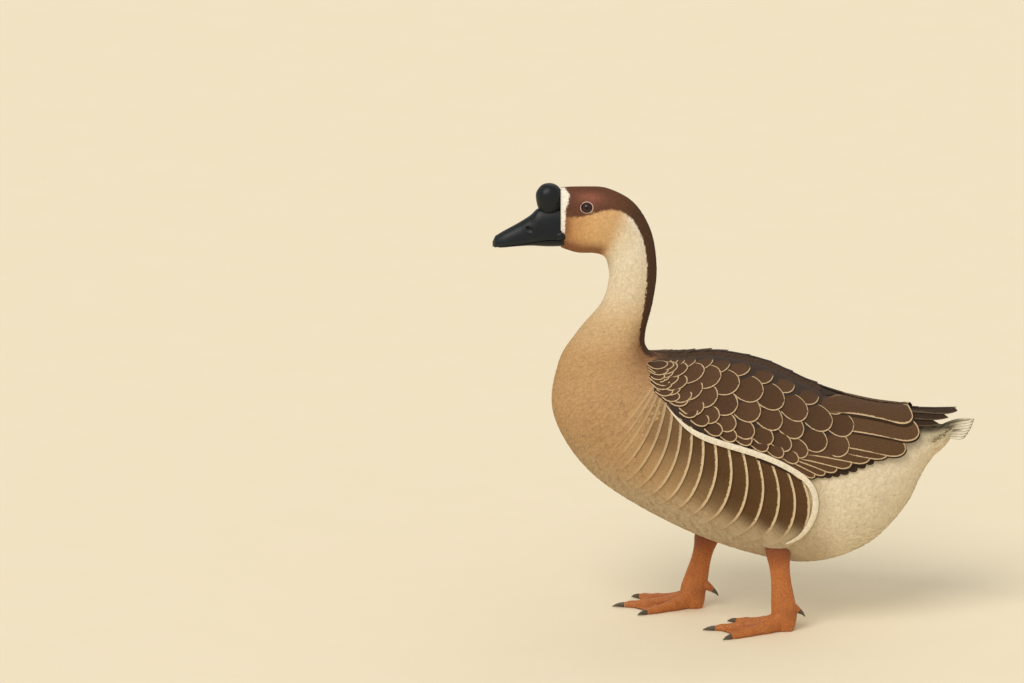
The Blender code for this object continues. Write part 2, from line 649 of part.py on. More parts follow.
def make_tail(where):
    """Tail feathers fanned from a pivot inside the mound, the middle one on top."""
    tail = tail_form("tail", where)
    feathers = collection("feathers", helper=True)
    s, share = TAIL_SHAPE.T[:, :, None]
    v, wide = np.array((-1.0, 0.0, 1.0)), TAIL_WIDTH * share
    for k in range(-TAIL_FEATHERS, TAIL_FEATHERS + 1):
        spread, out = math.radians(TAIL_STEP * k), abs(k)
        reach = TAIL_START + (TAIL_LENGTH - TAIL_SHORTER * out) * s
        drop = TAIL_DROP * out + TAIL_DROOP * out * s ** 2 + (TAIL_SHIFT if k > 0 else 0.0)
        roll = (TAIL_ROLL * np.sign(k) * v + TAIL_BOW * np.abs(v)) * wide
        x = TAIL_PIVOT[0] + math.cos(spread) * reach - math.sin(spread) * v * wide
        y = math.sin(spread) * reach + math.cos(spread) * v * wide
        z = TAIL_PIVOT[1] + TAIL_SLOPE * reach - drop - roll
        vane(f"tail feather {k}", np.stack(np.broadcast_arrays(x, y, z), -1), "tail white", feathers)
    apply_boolean(tail, "UNION", others=feathers)
    keep_largest(tail)


def tube(name, centres, radii, paint, where, count=16, floor=False):
    """Loft of ellipses along a path. A radius is (in the path's upright plane, across it)."""
    centres, radii = np.asarray(centres, float), np.asarray(radii, float)
    whole = centres[-1] - centres[0]
    across = np.array((0.0, 1.0, 0.0))
    if np.hypot(whole[0], whole[1]) > abs(whole[2]):
        across = np.array((-whole[1], whole[0], 0.0)) / np.hypot(whole[0], whole[1])
    tangent = np.gradient(centres, axis=0)
    tangent /= np.linalg.norm(tangent, axis=1)[:, None]
    side = across - tangent * (tangent @ across)[:, None]
    side /= np.linalg.norm(side, axis=1)[:, None]
    front = np.cross(side, tangent)
    a = around(count)[None, :, None]
    rings = (centres[:, None] + front[:, None] * radii[:, :1, None] * np.cos(a)
             + side[:, None] * radii[:, 1:, None] * np.sin(a))
    if floor:
        rings[..., 2] = np.maximum(rings[..., 2], 0.0)
    return loft(name, rings, paint, where)


def cut_by(obj, *others):
    """Cuts copies of the other objects away and keeps the largest piece."""
    for other in others:
        cutter = bpy.data.objects.new("space", other.data.copy())
        other.users_collection[0].objects.link(cutter)
        apply_boolean(obj, "DIFFERENCE", other=cutter)
    return keep_largest(obj)


def thigh_form(name, which, where, grow=0.0):
    """The feathered thigh: wide inside the flank, narrowing to a cuff round the hock."""
    leg = LEGS[which]
    x, z = leg["hock"]
    forward, out, rise = THIGH[:, :3].T
    centres = np.stack((x - forward, leg["side"] * (HIP_OUT + out), z + rise), -1)
    centres[0, 2] -= grow
    return tube(name, centres, THIGH[:, 3:] + grow, "belly grey buff", where, 20)


def make_leg(which, where, torso):
    leg = LEGS[which]
    y = leg["side"] * HIP_OUT
    hock = np.array((leg["hock"][0], y, leg["hock"][1]))
    ankle = np.array((leg["ankle"][0], y, leg["ankle"][1]))
    up = (hock - ankle) / np.linalg.norm(hock - ankle)
    thigh = cut_by(thigh_form(f"thigh_{which}", which, where), torso)
    space = thigh_form("thigh space", which, torso.users_collection[0], CLEAR)
    foot_top = ankle + up * FOOT_HEIGHT
    shank = tube(f"leg_{which}", hock + (foot_top - hock) * SHANK[:, :1], SHANK[:, 1:], "leg orange", where)
    cut_by(shank, torso, space)
    bpy.data.objects.remove(space, do_unlink=True)
    make_foot(which, foot_top - up * GAP, ankle, where)


def make_claw(name, root, way, length, where):
    """A curved claw that starts as wide as the toe's end and bends down to a blunt tip."""
    s, size = CLAW_SHAPE.T[:, :, None]
    centres = root + way * length * s - np.array((0, 0, root[2] - CLAW_TIP)) * s ** 3
    return tube(name, centres, TOE_END * size * (1.0, CLAW_FLAT), "claw brown", where, 8, floor=True)


def make_foot(which, top, ankle, where):
    """Ankle, hind toe, three toes in front with webs between them, and flat soles on the floor."""
    side = LEGS[which]["side"]
    up = (top - ankle) / np.linalg.norm(top - ankle)
    middle = ankle + up * FOOT_MIDDLE
    foot = tube(f"foot_{which}", [top, middle, ankle, ankle * (1, 1, FOOT_LOW), ankle * (1, 1, 0)],
                FOOT_RADII, "leg orange", where, 14, floor=True)
    pieces = collection("toes", helper=True)
    lines = []
    s, height, *radii = TOE_SHAPE.T
    for number, toe in TOES.items():
        angle = math.radians(LEGS[which]["turn"] + toe["spread"])
        way = np.array((-math.cos(angle), side * math.sin(angle), 0))
        path = ankle * (1, 1, 0) + way * (s * toe["length"])[:, None]
        path[:, 2] = height
        lines.append(path)
        tube(f"toe {number}", path, np.stack(radii, -1), "leg orange", pieces, 8, floor=True)
        make_claw(f"claw_{which}_{number}", path[-1] + way * GAP, way, toe["claw"], where)
    for k in (0, 1):
        web(f"web {k}", lines[k], lines[k + 1], pieces)
    way = np.array((math.cos(HIND_SLOPE), -side * HIND_INWARD, -math.sin(HIND_SLOPE)))
    path = middle + up * HIND_START + way * HIND_TOE[:, :1]
    tube("hind toe", path, HIND_TOE[:, 1:], "leg orange", pieces, 8)
    apply_boolean(foot, "UNION", others=pieces)
    keep_largest(foot)
    s, size = HIND_CLAW_SHAPE.T
    centres = path[-1] + way * (GAP + HIND_CLAW * s)[:, None]
    centres[:, 2] -= HIND_CLAW_DROP * s ** 3
    size = HIND_CLAW_RADIUS * size
    tube(f"claw_{which}_1", centres, np.stack((size, size), -1), "claw brown", where, 8)


def web(name, first, second, where):
    """Thin skin between two toes with a hollowed front edge."""
    s = np.linspace(WEB_START, 1, 5)
    t = np.linspace(0, 1, 4)
    reach = WEB_END - WEB_HOLLOW * np.sin(math.pi * t)
    share = np.linspace(0, 1, len(first))
    rows = []
    for along in s:
        at = along * reach
        a = np.stack([np.interp(at, share, first[:, k]) for k in range(3)], -1)
        b = np.stack([np.interp(at, share, second[:, k]) for k in range(3)], -1)
        middle = a + (b - a) * t[:, None]
        middle[:, 2] = WEB_HEIGHT + WEB_RISE * (middle[:, 2] - WEB_HEIGHT) * np.abs(1 - 2 * t)
        half = np.array((0, 0, WEB_HALF))
        rows.append(np.vstack((middle + half, (middle - half)[::-1])))
    return loft(name, rows, "leg orange", where)


def main():
    clear_scene()
    bird = collection("african goose")
    spaces = collection("spaces", helper=True)
    make_torso(bird)
    make_neck(bird)
    make_head(bird)
    make_bill(bird)
    make_knob(bird)
    make_tail(bird)
    torso = torso_space(spaces)
    tail = tail_form("tail space", spaces, CLEAR)
    for side, which in ((-1, "left"), (1, "right")):
        make_wing(side, f"wing_{which}", bird, torso, tail)
        make_leg(which, bird, torso)
    for helper in (torso, tail):
        helper.display_type = "WIRE"
        helper.hide_render = True


main()
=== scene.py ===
import json
import math

import bpy
import numpy as np
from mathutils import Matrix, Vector

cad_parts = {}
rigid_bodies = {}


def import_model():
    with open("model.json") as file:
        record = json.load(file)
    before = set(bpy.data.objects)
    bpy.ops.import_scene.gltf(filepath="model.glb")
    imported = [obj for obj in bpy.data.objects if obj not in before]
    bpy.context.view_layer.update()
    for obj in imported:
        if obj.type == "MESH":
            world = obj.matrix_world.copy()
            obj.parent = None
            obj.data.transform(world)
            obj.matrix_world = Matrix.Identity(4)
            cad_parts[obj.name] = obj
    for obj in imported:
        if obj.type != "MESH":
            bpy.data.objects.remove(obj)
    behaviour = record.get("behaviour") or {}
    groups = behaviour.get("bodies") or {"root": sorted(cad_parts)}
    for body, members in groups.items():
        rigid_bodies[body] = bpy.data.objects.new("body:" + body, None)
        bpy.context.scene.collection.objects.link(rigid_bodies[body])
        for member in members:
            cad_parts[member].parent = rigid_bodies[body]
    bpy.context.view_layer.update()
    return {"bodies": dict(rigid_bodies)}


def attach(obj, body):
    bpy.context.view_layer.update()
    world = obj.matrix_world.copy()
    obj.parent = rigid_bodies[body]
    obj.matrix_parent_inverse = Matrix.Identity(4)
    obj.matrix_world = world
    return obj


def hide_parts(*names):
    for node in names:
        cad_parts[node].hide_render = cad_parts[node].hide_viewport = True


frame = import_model()
dice = np.random.default_rng(11)
pi = math.pi
bodyName = sorted(frame["bodies"])[0]

# The bird's own form, one row per cross-section from the bill's border to the tail's root:
# crown or back (x, z), throat or belly (x, z), half width, how low the widest part sits. A last
# number, the middle's place across the bird, is 0 but for the thighs.
bodyRows = np.array((
    (-0.2855, 0.7364, -0.2855, 0.6346, 0.0210, 0.05),
    (-0.2450, 0.7372, -0.2582, 0.6266, 0.0300, 0.18),
    (-0.2071, 0.7338, -0.2302, 0.6258, 0.0340, 0.20),
    (-0.1642, 0.7091, -0.2137, 0.6198, 0.0350, 0.12),
    (-0.1361, 0.6606, -0.2071, 0.6028, 0.0340, 0.02),
    (-0.1270, 0.5994, -0.2062, 0.5790, 0.0330, 0.00),
    (-0.1328, 0.5450, -0.2186, 0.5399, 0.0350, 0.00),
    (-0.1452, 0.4923, -0.2582, 0.4906, 0.0490, 0.02),
    (-0.1444, 0.4668, -0.2896, 0.4362, 0.0700, 0.05),
    (-0.1295, 0.4532, -0.2962, 0.3495, 0.0950, 0.05),
    (-0.0883, 0.4520, -0.2335, 0.2525, 0.1140, 0.03),
    (-0.0223, 0.4545, -0.1081, 0.1709, 0.1240, 0.00),
    (0.0520, 0.4392, 0.0190, 0.1199, 0.1260, 0.00),
    (0.1180, 0.4080, 0.1295, 0.1020, 0.1210, 0.00),
    (0.1840, 0.3785, 0.2219, 0.1318, 0.1060, 0.00),
    (0.2417, 0.3565, 0.2830, 0.1930, 0.0800, 0.00),
    (0.2830, 0.3420, 0.3143, 0.2542, 0.0570, 0.00),
    (0.3077, 0.3370, 0.3325, 0.2814, 0.0450, 0.00),
    (0.3220, 0.3340, 0.3420, 0.2900, 0.0430, 0.00),
    (0.3380, 0.3320, 0.3520, 0.3010, 0.0390, 0.00),
    (0.3520, 0.3300, 0.3610, 0.3130, 0.0270, 0.00),
))
# The folded wings lie on the same form as far as the vent, then on over the rump.
wingRows = np.vstack((bodyRows[:15], (
    (0.2450, 0.3615, 0.2620, 0.2000, 0.0820, 0.00),
    (0.3000, 0.3555, 0.3100, 0.2600, 0.0560, 0.00),
    (0.3400, 0.3545, 0.3450, 0.3060, 0.0340, 0.00),
    (0.3640, 0.3550, 0.3660, 0.3380, 0.0180, 0.00),
    (0.3900, 0.3550, 0.3910, 0.3440, 0.0090, 0.00),
)))
# The rump's coat runs on past the skin's end, over the roots of the tail feathers.
rumpRows = np.vstack((bodyRows, (
    (0.3660, 0.3342, 0.3680, 0.3190, 0.0160, 0.00),
    (0.3800, 0.3370, 0.3810, 0.3260, 0.0070, 0.00),
)))
bodyRows, wingRows, rumpRows = (np.pad(rows, ((0, 0), (0, 1))) for rows in (bodyRows, wingRows, rumpRows))

eye = {
    "centre": (-0.2417, 0.0168, 0.7050),  # of the right eye; the left is its mirror
    "radius": 0.0110,
    "opening": 0.0079,  # half the gap between the lids
    "lid": 0.0015,  # half the lid's width
    "axis": (-0.12, 0.95, 0.29),
}
# Swellings and hollows of the face: centre on the right side, reach, how far it stands out.
faceSwellings = (
    ((-0.2417, 0.0240, 0.7050), 0.0135, -0.0010),  # hollow round the eye
    ((-0.2380, 0.0190, 0.7270), 0.0120, 0.0014),   # brow
    ((-0.2180, 0.0330, 0.6720), 0.0260, 0.0020),   # cheek
    ((-0.2760, 0.0220, 0.6470), 0.0110, 0.0012),   # corner of the mouth
    ((-0.2740, 0.0200, 0.6900), 0.0130, -0.0007),  # lores
)


def tone(red, green, blue):
    # Linear colour of the one that a screen shows at these levels, 0 to 255.
    level = np.array((red, green, blue)) / 255
    return np.where(level <= 0.04045, level / 12.92, ((level + 0.055) / 1.055) ** 2.4)


def fade(start, end, x):
    # Smooth step from 0 at start to 1 at end, whichever of them is larger.
    t = np.clip((x - start) / (end - start), 0, 1)
    return t * t * (3 - 2 * t)


def blend(base, other, share):
    # Mixes two colours by a share for each point.
    return base + (other - base) * np.asarray(share)[..., None]


def unit(vectors):
    return vectors / np.maximum(np.linalg.norm(vectors, axis=-1, keepdims=True), 1e-12)


def stacked(*parts):
    # Coordinates side by side in a new last axis, spread to one shape.
    return np.stack(np.broadcast_arrays(*parts), -1)


def turns(count):
    # Angles once round, as one row.
    return np.linspace(0, 2 * pi, count, endpoint=False)[None, :]


def unwrap(around, along):
    # The bake map of a form, by the angle round it and the share along it.
    return stacked(around / (2 * pi), 0.01 + 0.98 * along)


def runOf(points):
    # Length of a row of points from its first one to each.
    return np.concatenate(((0,), np.cumsum(np.linalg.norm(np.diff(points, axis=0), axis=1))))


def throughRows(rows, u):
    # Catmull-Rom curve through a table's rows, read at the positions u.
    u = np.clip(u, 0, len(rows) - 1)
    i = np.minimum(u.astype(int), len(rows) - 2)
    t = (u - i)[..., None]
    padded = np.vstack((2 * rows[0] - rows[1], rows, 2 * rows[-1] - rows[-2]))
    a, b, c, d = padded[i], padded[i + 1], padded[i + 2], padded[i + 3]
    return b + 0.5 * t * (c - a + t * (2 * a - 5 * b + 4 * c - d + t * (3 * (b - c) + d - a)))


def ringPoint(rows, u, angle):
    # Section u is an ellipse from the back (angle 0) round the left side; its widest part sits low.
    u, angle = np.broadcast_arrays(np.asarray(u, float), angle)
    row = throughRows(rows, u)
    up = np.cos(angle) - row[..., 5] * np.sin(angle) ** 2
    x = (row[..., 0] + row[..., 2] + (row[..., 0] - row[..., 2]) * up) / 2
    z = (row[..., 1] + row[..., 3] + (row[..., 1] - row[..., 3]) * up) / 2
    return np.stack((x, row[..., 6] - row[..., 4] * np.sin(angle), z), -1)


def headRelief(points):
    # Sum of round swellings of the face, each a bell curve of the distance from its centre.
    folded = np.concatenate((points[..., :1], np.abs(points[..., 1:2]), points[..., 2:]), -1)
    away = [np.linalg.norm(folded - centre, axis=-1) / reach for centre, reach, _ in faceSwellings]
    return sum(rise * np.exp(-d ** 2) for d, (_, _, rise) in zip(away, faceSwellings))


def slopes(rows, u, angle):
    # How the ring point moves with u and with the angle.
    stepU, stepA = 0.02, 0.01
    u = np.clip(u, 0, len(rows) - 1)
    low, high = np.maximum(u - stepU, 0), np.minimum(u + stepU, len(rows) - 1)
    along = (ringPoint(rows, high, angle) - ringPoint(rows, low, angle)) / (high - low)[..., None]
    across = (ringPoint(rows, u, angle + stepA) - ringPoint(rows, u, angle - stepA)) / (2 * stepA)
    return along, across


def scales(rows, u, angle):
    # Metres for each station, and for each radian.
    return [np.linalg.norm(slope, axis=-1) for slope in slopes(rows, u, angle)]


def onForm(rows, u, angle, height=0.0):
    # A ring point, moved out along the surface's normal by height and by the face's relief.
    u, angle, height = np.broadcast_arrays(np.asarray(u, float), angle, height)
    u = np.clip(u, 0, len(rows) - 1)
    here = ringPoint(rows, u, angle)
    along, across = slopes(rows, u, angle)
    return here + unit(np.cross(across, along)) * (height + headRelief(here))[..., None]


# Materials: a shader for each finish, with its pattern in nodes.
def newMaterial(name, roughness=0.6, **sockets):
    made = bpy.data.materials.new(name)
    made.use_nodes = True
    shader = made.node_tree.nodes["Principled BSDF"]
    shader.inputs["Roughness"].default_value = roughness
    for key, value in sockets.items():
        shader.inputs[key.replace("_", " ")].default_value = value
    return made, made.node_tree, shader


def node(tree, kind, sockets=(), **settings):
    # Adds one node: settings are its properties, sockets its inputs, each a value or the output it reads.
    made = tree.nodes.new("ShaderNode" + kind)
    for key, value in settings.items():
        setattr(made, key, value)
    for key, value in dict(sockets).items():
        if isinstance(value, bpy.types.NodeSocket):
            tree.links.new(value, made.inputs[key])
        else:
            made.inputs[key].default_value = value
    return made


def maths(tree, operation, a, b=0.0):
    return node(tree, "Math", {0: a, 1: b}, operation=operation).outputs[0]


def mixed(tree, share, a, b):
    return node(tree, "Mix", {0: share, 6: a, 7: b}, data_type="RGBA").outputs[2]


def ranged(tree, value, fromLow, fromHigh, toLow=0.0, toHigh=1.0):
    sockets = {0: value, 1: fromLow, 2: fromHigh, 3: toLow, 4: toHigh}
    return node(tree, "MapRange", sockets, interpolation_type="SMOOTHSTEP").outputs[0]


def noise(tree, scale, detail=2.0, where=None):
    where = where or node(tree, "TexCoord").outputs["Object"]
    return node(tree, "TexNoise", {"Vector": where, "Scale": scale, "Detail": detail}).outputs["Fac"]


def bumped(tree, shader, height, strength, distance):
    bump = node(tree, "Bump", {"Height": height, "Strength": strength, "Distance": distance})
    tree.links.new(bump.outputs[0], shader.inputs["Normal"])


def plumeMaterial(name, rim, rimWidth, roughness=0.85, barb=0.12):
    # A vane: its own tone, a rim by the distance from the edge, slanting barbs and mottling.
    made, tree, shader = newMaterial(name, roughness, Specular_IOR_Level=0.12)
    tint = node(tree, "Attribute", attribute_name="tint")
    edge = node(tree, "Attribute", attribute_name="edge").outputs["Fac"]
    vane = node(tree, "UVMap", uv_map="vane").outputs[0]
    split = node(tree, "SeparateXYZ", {0: vane})
    side = maths(tree, "ABSOLUTE", maths(tree, "SUBTRACT", split.outputs[0], 0.5))
    slant = maths(tree, "SUBTRACT", split.outputs[1], maths(tree, "MULTIPLY", side, 0.55))
    lines = maths(tree, "SINE", maths(tree, "MULTIPLY", slant, 120.0))
    mottle = noise(tree, 260.0, 3.0)
    uneven = maths(tree, "ADD", edge, maths(tree, "MULTIPLY", maths(tree, "SUBTRACT", mottle, 0.5), rimWidth))
    rimShare = ranged(tree, uneven, rimWidth * 1.15, rimWidth * 0.75)
    rimShare = maths(tree, "MULTIPLY", rimShare, tint.outputs["Alpha"])
    shade = maths(tree, "ADD", maths(tree, "MULTIPLY", lines, barb), ranged(tree, mottle, 0.3, 0.7, 0.92, 1.07))
    shaded = node(tree, "VectorMath", {0: tint.outputs["Color"], "Scale": shade}, operation="SCALE").outputs[0]
    coloured = mixed(tree, rimShare, shaded, (*tone(*rim), 1.0))
    tree.links.new(coloured, shader.inputs["Base Color"])
    bumped(tree, shader, maths(tree, "ADD", lines, mottle), 0.15, 0.0003)
    return made


# Meshes: arrays in, one object out.
def sleeveFaces(steps, count):
    # Quads of a closed sleeve: between its rings, then a strip of quads over each end.
    i, k = np.meshgrid(np.arange(steps - 1), np.arange(count), indexing="ij")
    n = (k + 1) % count
    walls = np.stack((i * count + k, i * count + n, (i + 1) * count + n, (i + 1) * count + k), -1)
    j = np.arange(count // 2 - 1)
    cap = np.stack((j + 1, j, count - 1 - j, count - 2 - j), -1)
    return np.vstack((walls.reshape(-1, 4), cap, cap[:, ::-1] + (steps - 1) * count))


def makePiece(name, points, faces, material, layers=None, maps=None, replaces=()):
    # One closed mesh from quads, turned outwards. Layers and maps hold a value for each point.
    points = points.reshape(-1, 3)
    corners = points[faces]
    volume = np.einsum("ij,ij->", corners[:, 0], np.cross(corners[:, 1], corners[:, 2]))
    volume += np.einsum("ij,ij->", corners[:, 0], np.cross(corners[:, 2], corners[:, 3]))
    if volume < 0:
        faces = faces[:, ::-1]
    mesh = bpy.data.meshes.new(name)
    mesh.from_pydata(points, [], faces.tolist())
    for key, values in (layers or {}).items():
        kind = "FLOAT_COLOR" if values.shape[-1] == 4 else "FLOAT"
        layer = mesh.attributes.new(key, kind, "POINT")
        layer.data.foreach_set("color" if kind == "FLOAT_COLOR" else "value", values.astype(np.float32).ravel())
    for key, values in (maps or {}).items():
        at = values.reshape(-1, 2)[faces]
        wraps = np.ptp(at[..., 0], axis=1) > 0.5
        at[wraps, :, 0] += at[wraps, :, 0] < 0.5
        mesh.uv_layers.new(name=key).data.foreach_set("uv", at.astype(np.float32).ravel())
    mesh.shade_smooth()
    mesh.set_sharp_from_angle(angle=math.radians(50))  # a vane's border stays a border
    return addObject(name, mesh, material, replaces)


def addObject(name, mesh, material, replaces=()):
    # Puts a mesh in the scene, riding on the bird.
    mesh.materials.clear()
    mesh.materials.append(material)
    piece = bpy.data.objects.new(name, mesh)
    bpy.context.scene.collection.objects.link(piece)
    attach(piece, bodyName)
    if replaces:
        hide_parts(*replaces)
    return piece


# The markings of the plumage, with painted shade and a painted highlight among them, the same on skin and coat. Places
# are (station, degrees from the back).
marks = {
    "along": (  # tone down the sides, by station
        (0.0, (154, 104, 65)), (0.5, (198, 147, 95)), (1.6, (216, 171, 116)), (2.55, (212, 172, 122)),
        (3.15, (232, 212, 178)), (4.0, (237, 223, 195)), (5.6, (226, 205, 170)), (6.5, (211, 178, 133)),
        (7.6, (194, 153, 104)), (9.5, (183, 144, 99)), (10.8, (182, 147, 105)), (12.0, (176, 149, 111)),
        (12.9, (195, 175, 141)), (13.4, (230, 215, 186)), (17.5, (228, 211, 180)), (20.0, (218, 200, 166))),
    "capEdge": ((0.2, 78), (0.9, 70), (1.4, 64), (1.83, 58), (2.3, 50), (2.7, 46), (3.2, 45), (3.7, 48),
                (4.2, 51), (4.9, 53), (5.5, 52), (6.2, 45), (6.8, 35), (7.6, 24), (8.6, 12), (9.2, 4)),
    "bandEdge": ((0, 0.10), (20, 0.20), (33, 0.34), (50, 0.31), (63, 0.20), (108, 0.18), (120, 0.0), (180, 0.0)),
    # The tail's side: its lower border, then two dark strokes, each a line and how wide it is.
    "tailEdge": ((15.6, 88), (16.2, 103), (16.9, 114), (18.6, 132), (20, 140)),
    "strokes": ((((16.5, 83), (17.55, 75), (18.94, 60), (20, 45)), 9),
                (((16.85, 27), (18.12, 16), (19.18, 5)), 9)),
    # Some of these tones are painted shade, under the head, down the neck's front, at the neck's base behind and under
    # the vent; the band's white also makes a painted highlight beside the stripe.
    "cap": (104, 68, 50), "glow": (150, 94, 76), "stripe": (86, 60, 43), "band": (248, 240, 224),
    "chin": (132, 88, 62), "throatShade": (166, 134, 98), "paunch": (192, 174, 144), "napeShade": (142, 98, 66),
    "back": (78, 57, 40), "ventShade": (188, 174, 142), "streak": (152, 118, 80), "ash": (190, 175, 138),
    "ink": (92, 74, 48),
}


def plumageTone(u, angle):
    # The tone at each place: a run down the body, then each marking, painted shade and painted highlight laid over it
    # with soft edges.
    degrees = foldedDegrees(angle)
    stations, tones = zip(*marks["along"])
    table = np.array([tone(*t) for t in tones])
    colour = np.stack([np.interp(u, stations, table[:, k]) for k in range(3)], -1)
    ripple = np.sin(u * 23 + degrees * 0.31) + np.sin(u * 41 - degrees * 0.23)

    def lay(key, share):
        nonlocal colour
        colour = blend(colour, tone(*marks[key]), np.clip(share, 0, 1))

    lay("chin", fade(0.75, 0.15, u) * fade(122, 100, degrees) * 0.75)
    # Painted shade: the head's underside, darker and redder.
    lay("chin", fade(104, 136, degrees) * fade(2.9, 2.2, u) * 0.85)
    # Painted shade: the upper neck's front, darker.
    lay("throatShade", fade(120, 160, degrees) * fade(2.4, 3.0, u) * fade(5.2, 3.6, u) * 0.35)
    # Painted highlight: a paler strip in the band's white beside the stripe on the upper neck.
    lay("band", fade(58, 47, degrees) * fade(2.6, 3.1, u) * fade(5.6, 4.6, u) * 0.5)
    # Painted shade: the sides of the neck's base behind, darker and redder.
    lay("napeShade", fade(70, 20, degrees) * fade(6.2, 7.4, u) * fade(10.4, 8.8, u) * 0.8)
    lay("paunch", fade(112, 150, degrees) * fade(8.8, 11.2, u) * fade(13.6, 12.8, u))
    strokes = np.sin(u * 52 + 3 * np.sin(degrees * 0.11)) * np.sin(u * 17 + degrees * 0.19)
    lay("streak", 0.45 * np.clip(strokes, 0, 1) * fade(40, 70, degrees) * fade(8.6, 9.6, u) * fade(12.4, 11.4, u))
    # Painted shade: the vent's underside, greyer and darker.
    lay("ventShade", fade(120, 165, degrees) * fade(13.0, 13.8, u) * fade(17.5, 16.0, u) * 0.45)
    tailEdge = np.interp(u, *zip(*marks["tailEdge"]))
    lay("ash", 0.8 * fade(tailEdge - 22, tailEdge - 40, degrees) * fade(15.6, 17.4, u))
    lay("ink", 0.45 * np.exp(-((degrees - tailEdge) / 4) ** 2) * fade(16.0, 18.0, u))
    for line, wide in marks["strokes"]:
        start, middle = line[0][0], np.interp(u, *zip(*line))
        lay("ink", 0.9 * np.exp(-((degrees - middle) / wide) ** 2) * fade(start - 0.3, start + 1.2, u))
    capEdge = np.interp(u, *zip(*marks["capEdge"])) + 0.5 * ripple
    lay("cap", fade(capEdge + 2.2, capEdge - 2.2, degrees) * fade(9.4, 8.6, u))
    lay("glow", np.exp(-((u - 1.25) / 0.62) ** 2 - ((degrees - 36) / 11) ** 2) * 0.9)
    lay("stripe", fade(capEdge + 2, capEdge - 2, degrees) * fade(2.2, 3.4, u) * fade(9.2, 8.4, u))
    lay("back", fade(40, 18, degrees) * fade(8.6, 9.7, u) * fade(17.2, 16.4, u))
    bandEdge = np.interp(degrees, *zip(*marks["bandEdge"]))
    lay("band", fade(bandEdge + 0.035, bandEdge - 0.035, u) * (bandEdge > 0.02))
    return colour


def coatDepth(u):
    # How far the skin lies under the feathers' tips.
    return np.interp(u, (0, 2.6, 4, 7, 9, 13, 16, 20),
                     (0.0010, 0.0012, 0.0017, 0.0021, 0.0026, 0.0030, 0.0028, 0.0014))


# One skin for all the flesh: the long form of head, neck, body and tail root, joined to the thighs.
legs = {  # side, hock and ankle (x, z), the angle that the toes turn out
    "left": {"side": -1, "hock": (0.0735, 0.1400), "ankle": (0.0845, 0.0300), "turn": 1},
    "right": {"side": 1, "hock": (-0.0405, 0.1260), "ankle": (-0.0640, 0.0300), "turn": 1},
}
legOut = 0.072
thighShape = (  # flank to cuff: forward, out and up from the hock, radii fore and aft, across
    (0.020, 0.006, 0.095, 0.054, 0.028), (0.012, 0.010, 0.060, 0.047, 0.031),
    (0.006, 0.006, 0.034, 0.038, 0.028), (0.002, 0.002, 0.016, 0.029, 0.021),
    (0.0, 0.0, 0.004, 0.0225, 0.0150),
)
thighDepth = 0.0024  # how far the skin lies under the thigh feathers' tips
skinShade = 0.85  # painted shade: how much darker the skin is than the feathers over it, where it shows between them


def thighRows(which):
    # The thigh as a table like the body's, from the flank down; angle 0 faces aft.
    leg = legs[which]
    x, z = leg["hock"]
    return np.array([(x - ahead + long, z + rise, x - ahead - long, z + rise, wide, 0.0, leg["side"] * (legOut + out))
                     for ahead, out, rise, long, wide in thighShape])


def mergedMesh(name, shells):
    # Joins closed shells into one mesh with a Boolean, and removes them.
    first = shells[0]
    group = bpy.data.collections.new(name)
    bpy.context.scene.collection.children.link(group)
    for shell in shells[1:]:
        group.objects.link(shell)
    join = first.modifiers.new("join", "BOOLEAN")
    join.operation, join.solver = "UNION", "MANIFOLD"
    join.operand_type, join.collection = "COLLECTION", group
    graph = bpy.context.evaluated_depsgraph_get()
    mesh = bpy.data.meshes.new_from_object(first.evaluated_get(graph))
    for shell in shells:
        bpy.data.objects.remove(shell)
    bpy.data.collections.remove(group)
    mesh.name = name
    return mesh


def skinMaterial():
    # Down under the vanes: the tint it is given, the place's tone darkened as painted shade, speckled darker.
    made, tree, shader = newMaterial("plumage skin", 0.9, Specular_IOR_Level=0.2)
    tint = node(tree, "Attribute", attribute_name="tint").outputs["Color"]
    down = noise(tree, 420.0, 3.0)
    shade = ranged(tree, down, 0.2, 0.8, 0.72, 1.0)
    shaded = node(tree, "VectorMath", {0: tint, "Scale": shade}, operation="SCALE")
    tree.links.new(shaded.outputs[0], shader.inputs["Base Color"])
    bumped(tree, shader, down, 0.5, 0.0006)
    return made


def withAlpha(colour, alpha):
    alpha = np.broadcast_to(np.asarray(alpha, float), colour.shape[:-1])
    return np.concatenate((colour, alpha[..., None]), -1)


def makeSkin():
    # The body's form and each thigh's, sunk by the coat's depth and joined. On the bake map the body
    # takes the lower part, and the thighs lie side by side above it.
    material, headRings, otherRings = skinMaterial(), 90, 170
    u = np.concatenate((np.linspace(0, 4, headRings, endpoint=False), np.linspace(4, 20, otherRings)))[:, None]
    angle = turns(96)
    points = onForm(bodyRows, u, angle, -coatDepth(u))
    # Painted shade: the skin, here and on the thighs below, takes the coat's tone darkened by skinShade.
    colour = plumageTone(*np.broadcast_arrays(u, angle)) * skinShade
    forms = [("skin", points, colour, stacked(angle / (2 * pi), 0.02 + 0.76 * u / 20))]
    for which, shift in (("left", 0.0), ("right", 0.5)):
        s, turn = np.linspace(0, 4, 14)[:, None], turns(32)
        points = onForm(thighRows(which), s, turn, -thighDepth)
        colour = np.broadcast_to(tone(*marks["paunch"]) * skinShade, points.shape)
        place = stacked(shift + 0.01 + turn / (2 * pi) * 0.46, 0.80 + 0.19 * s / 4)
        forms.append(("thigh", points, colour, place))
    shells = [makePiece(name, points, sleeveFaces(*points.shape[:2]), material, {"tint": withAlpha(colour, 1)},
                        {"OFBake": place}) for name, points, colour, place in forms]
    mesh = mergedMesh("skin", shells)
    mesh.shade_smooth()
    flesh = ("head", "neck_upper", "neck_lower", "torso", "thigh_left", "thigh_right")
    return addObject("skin", mesh, material, flesh)


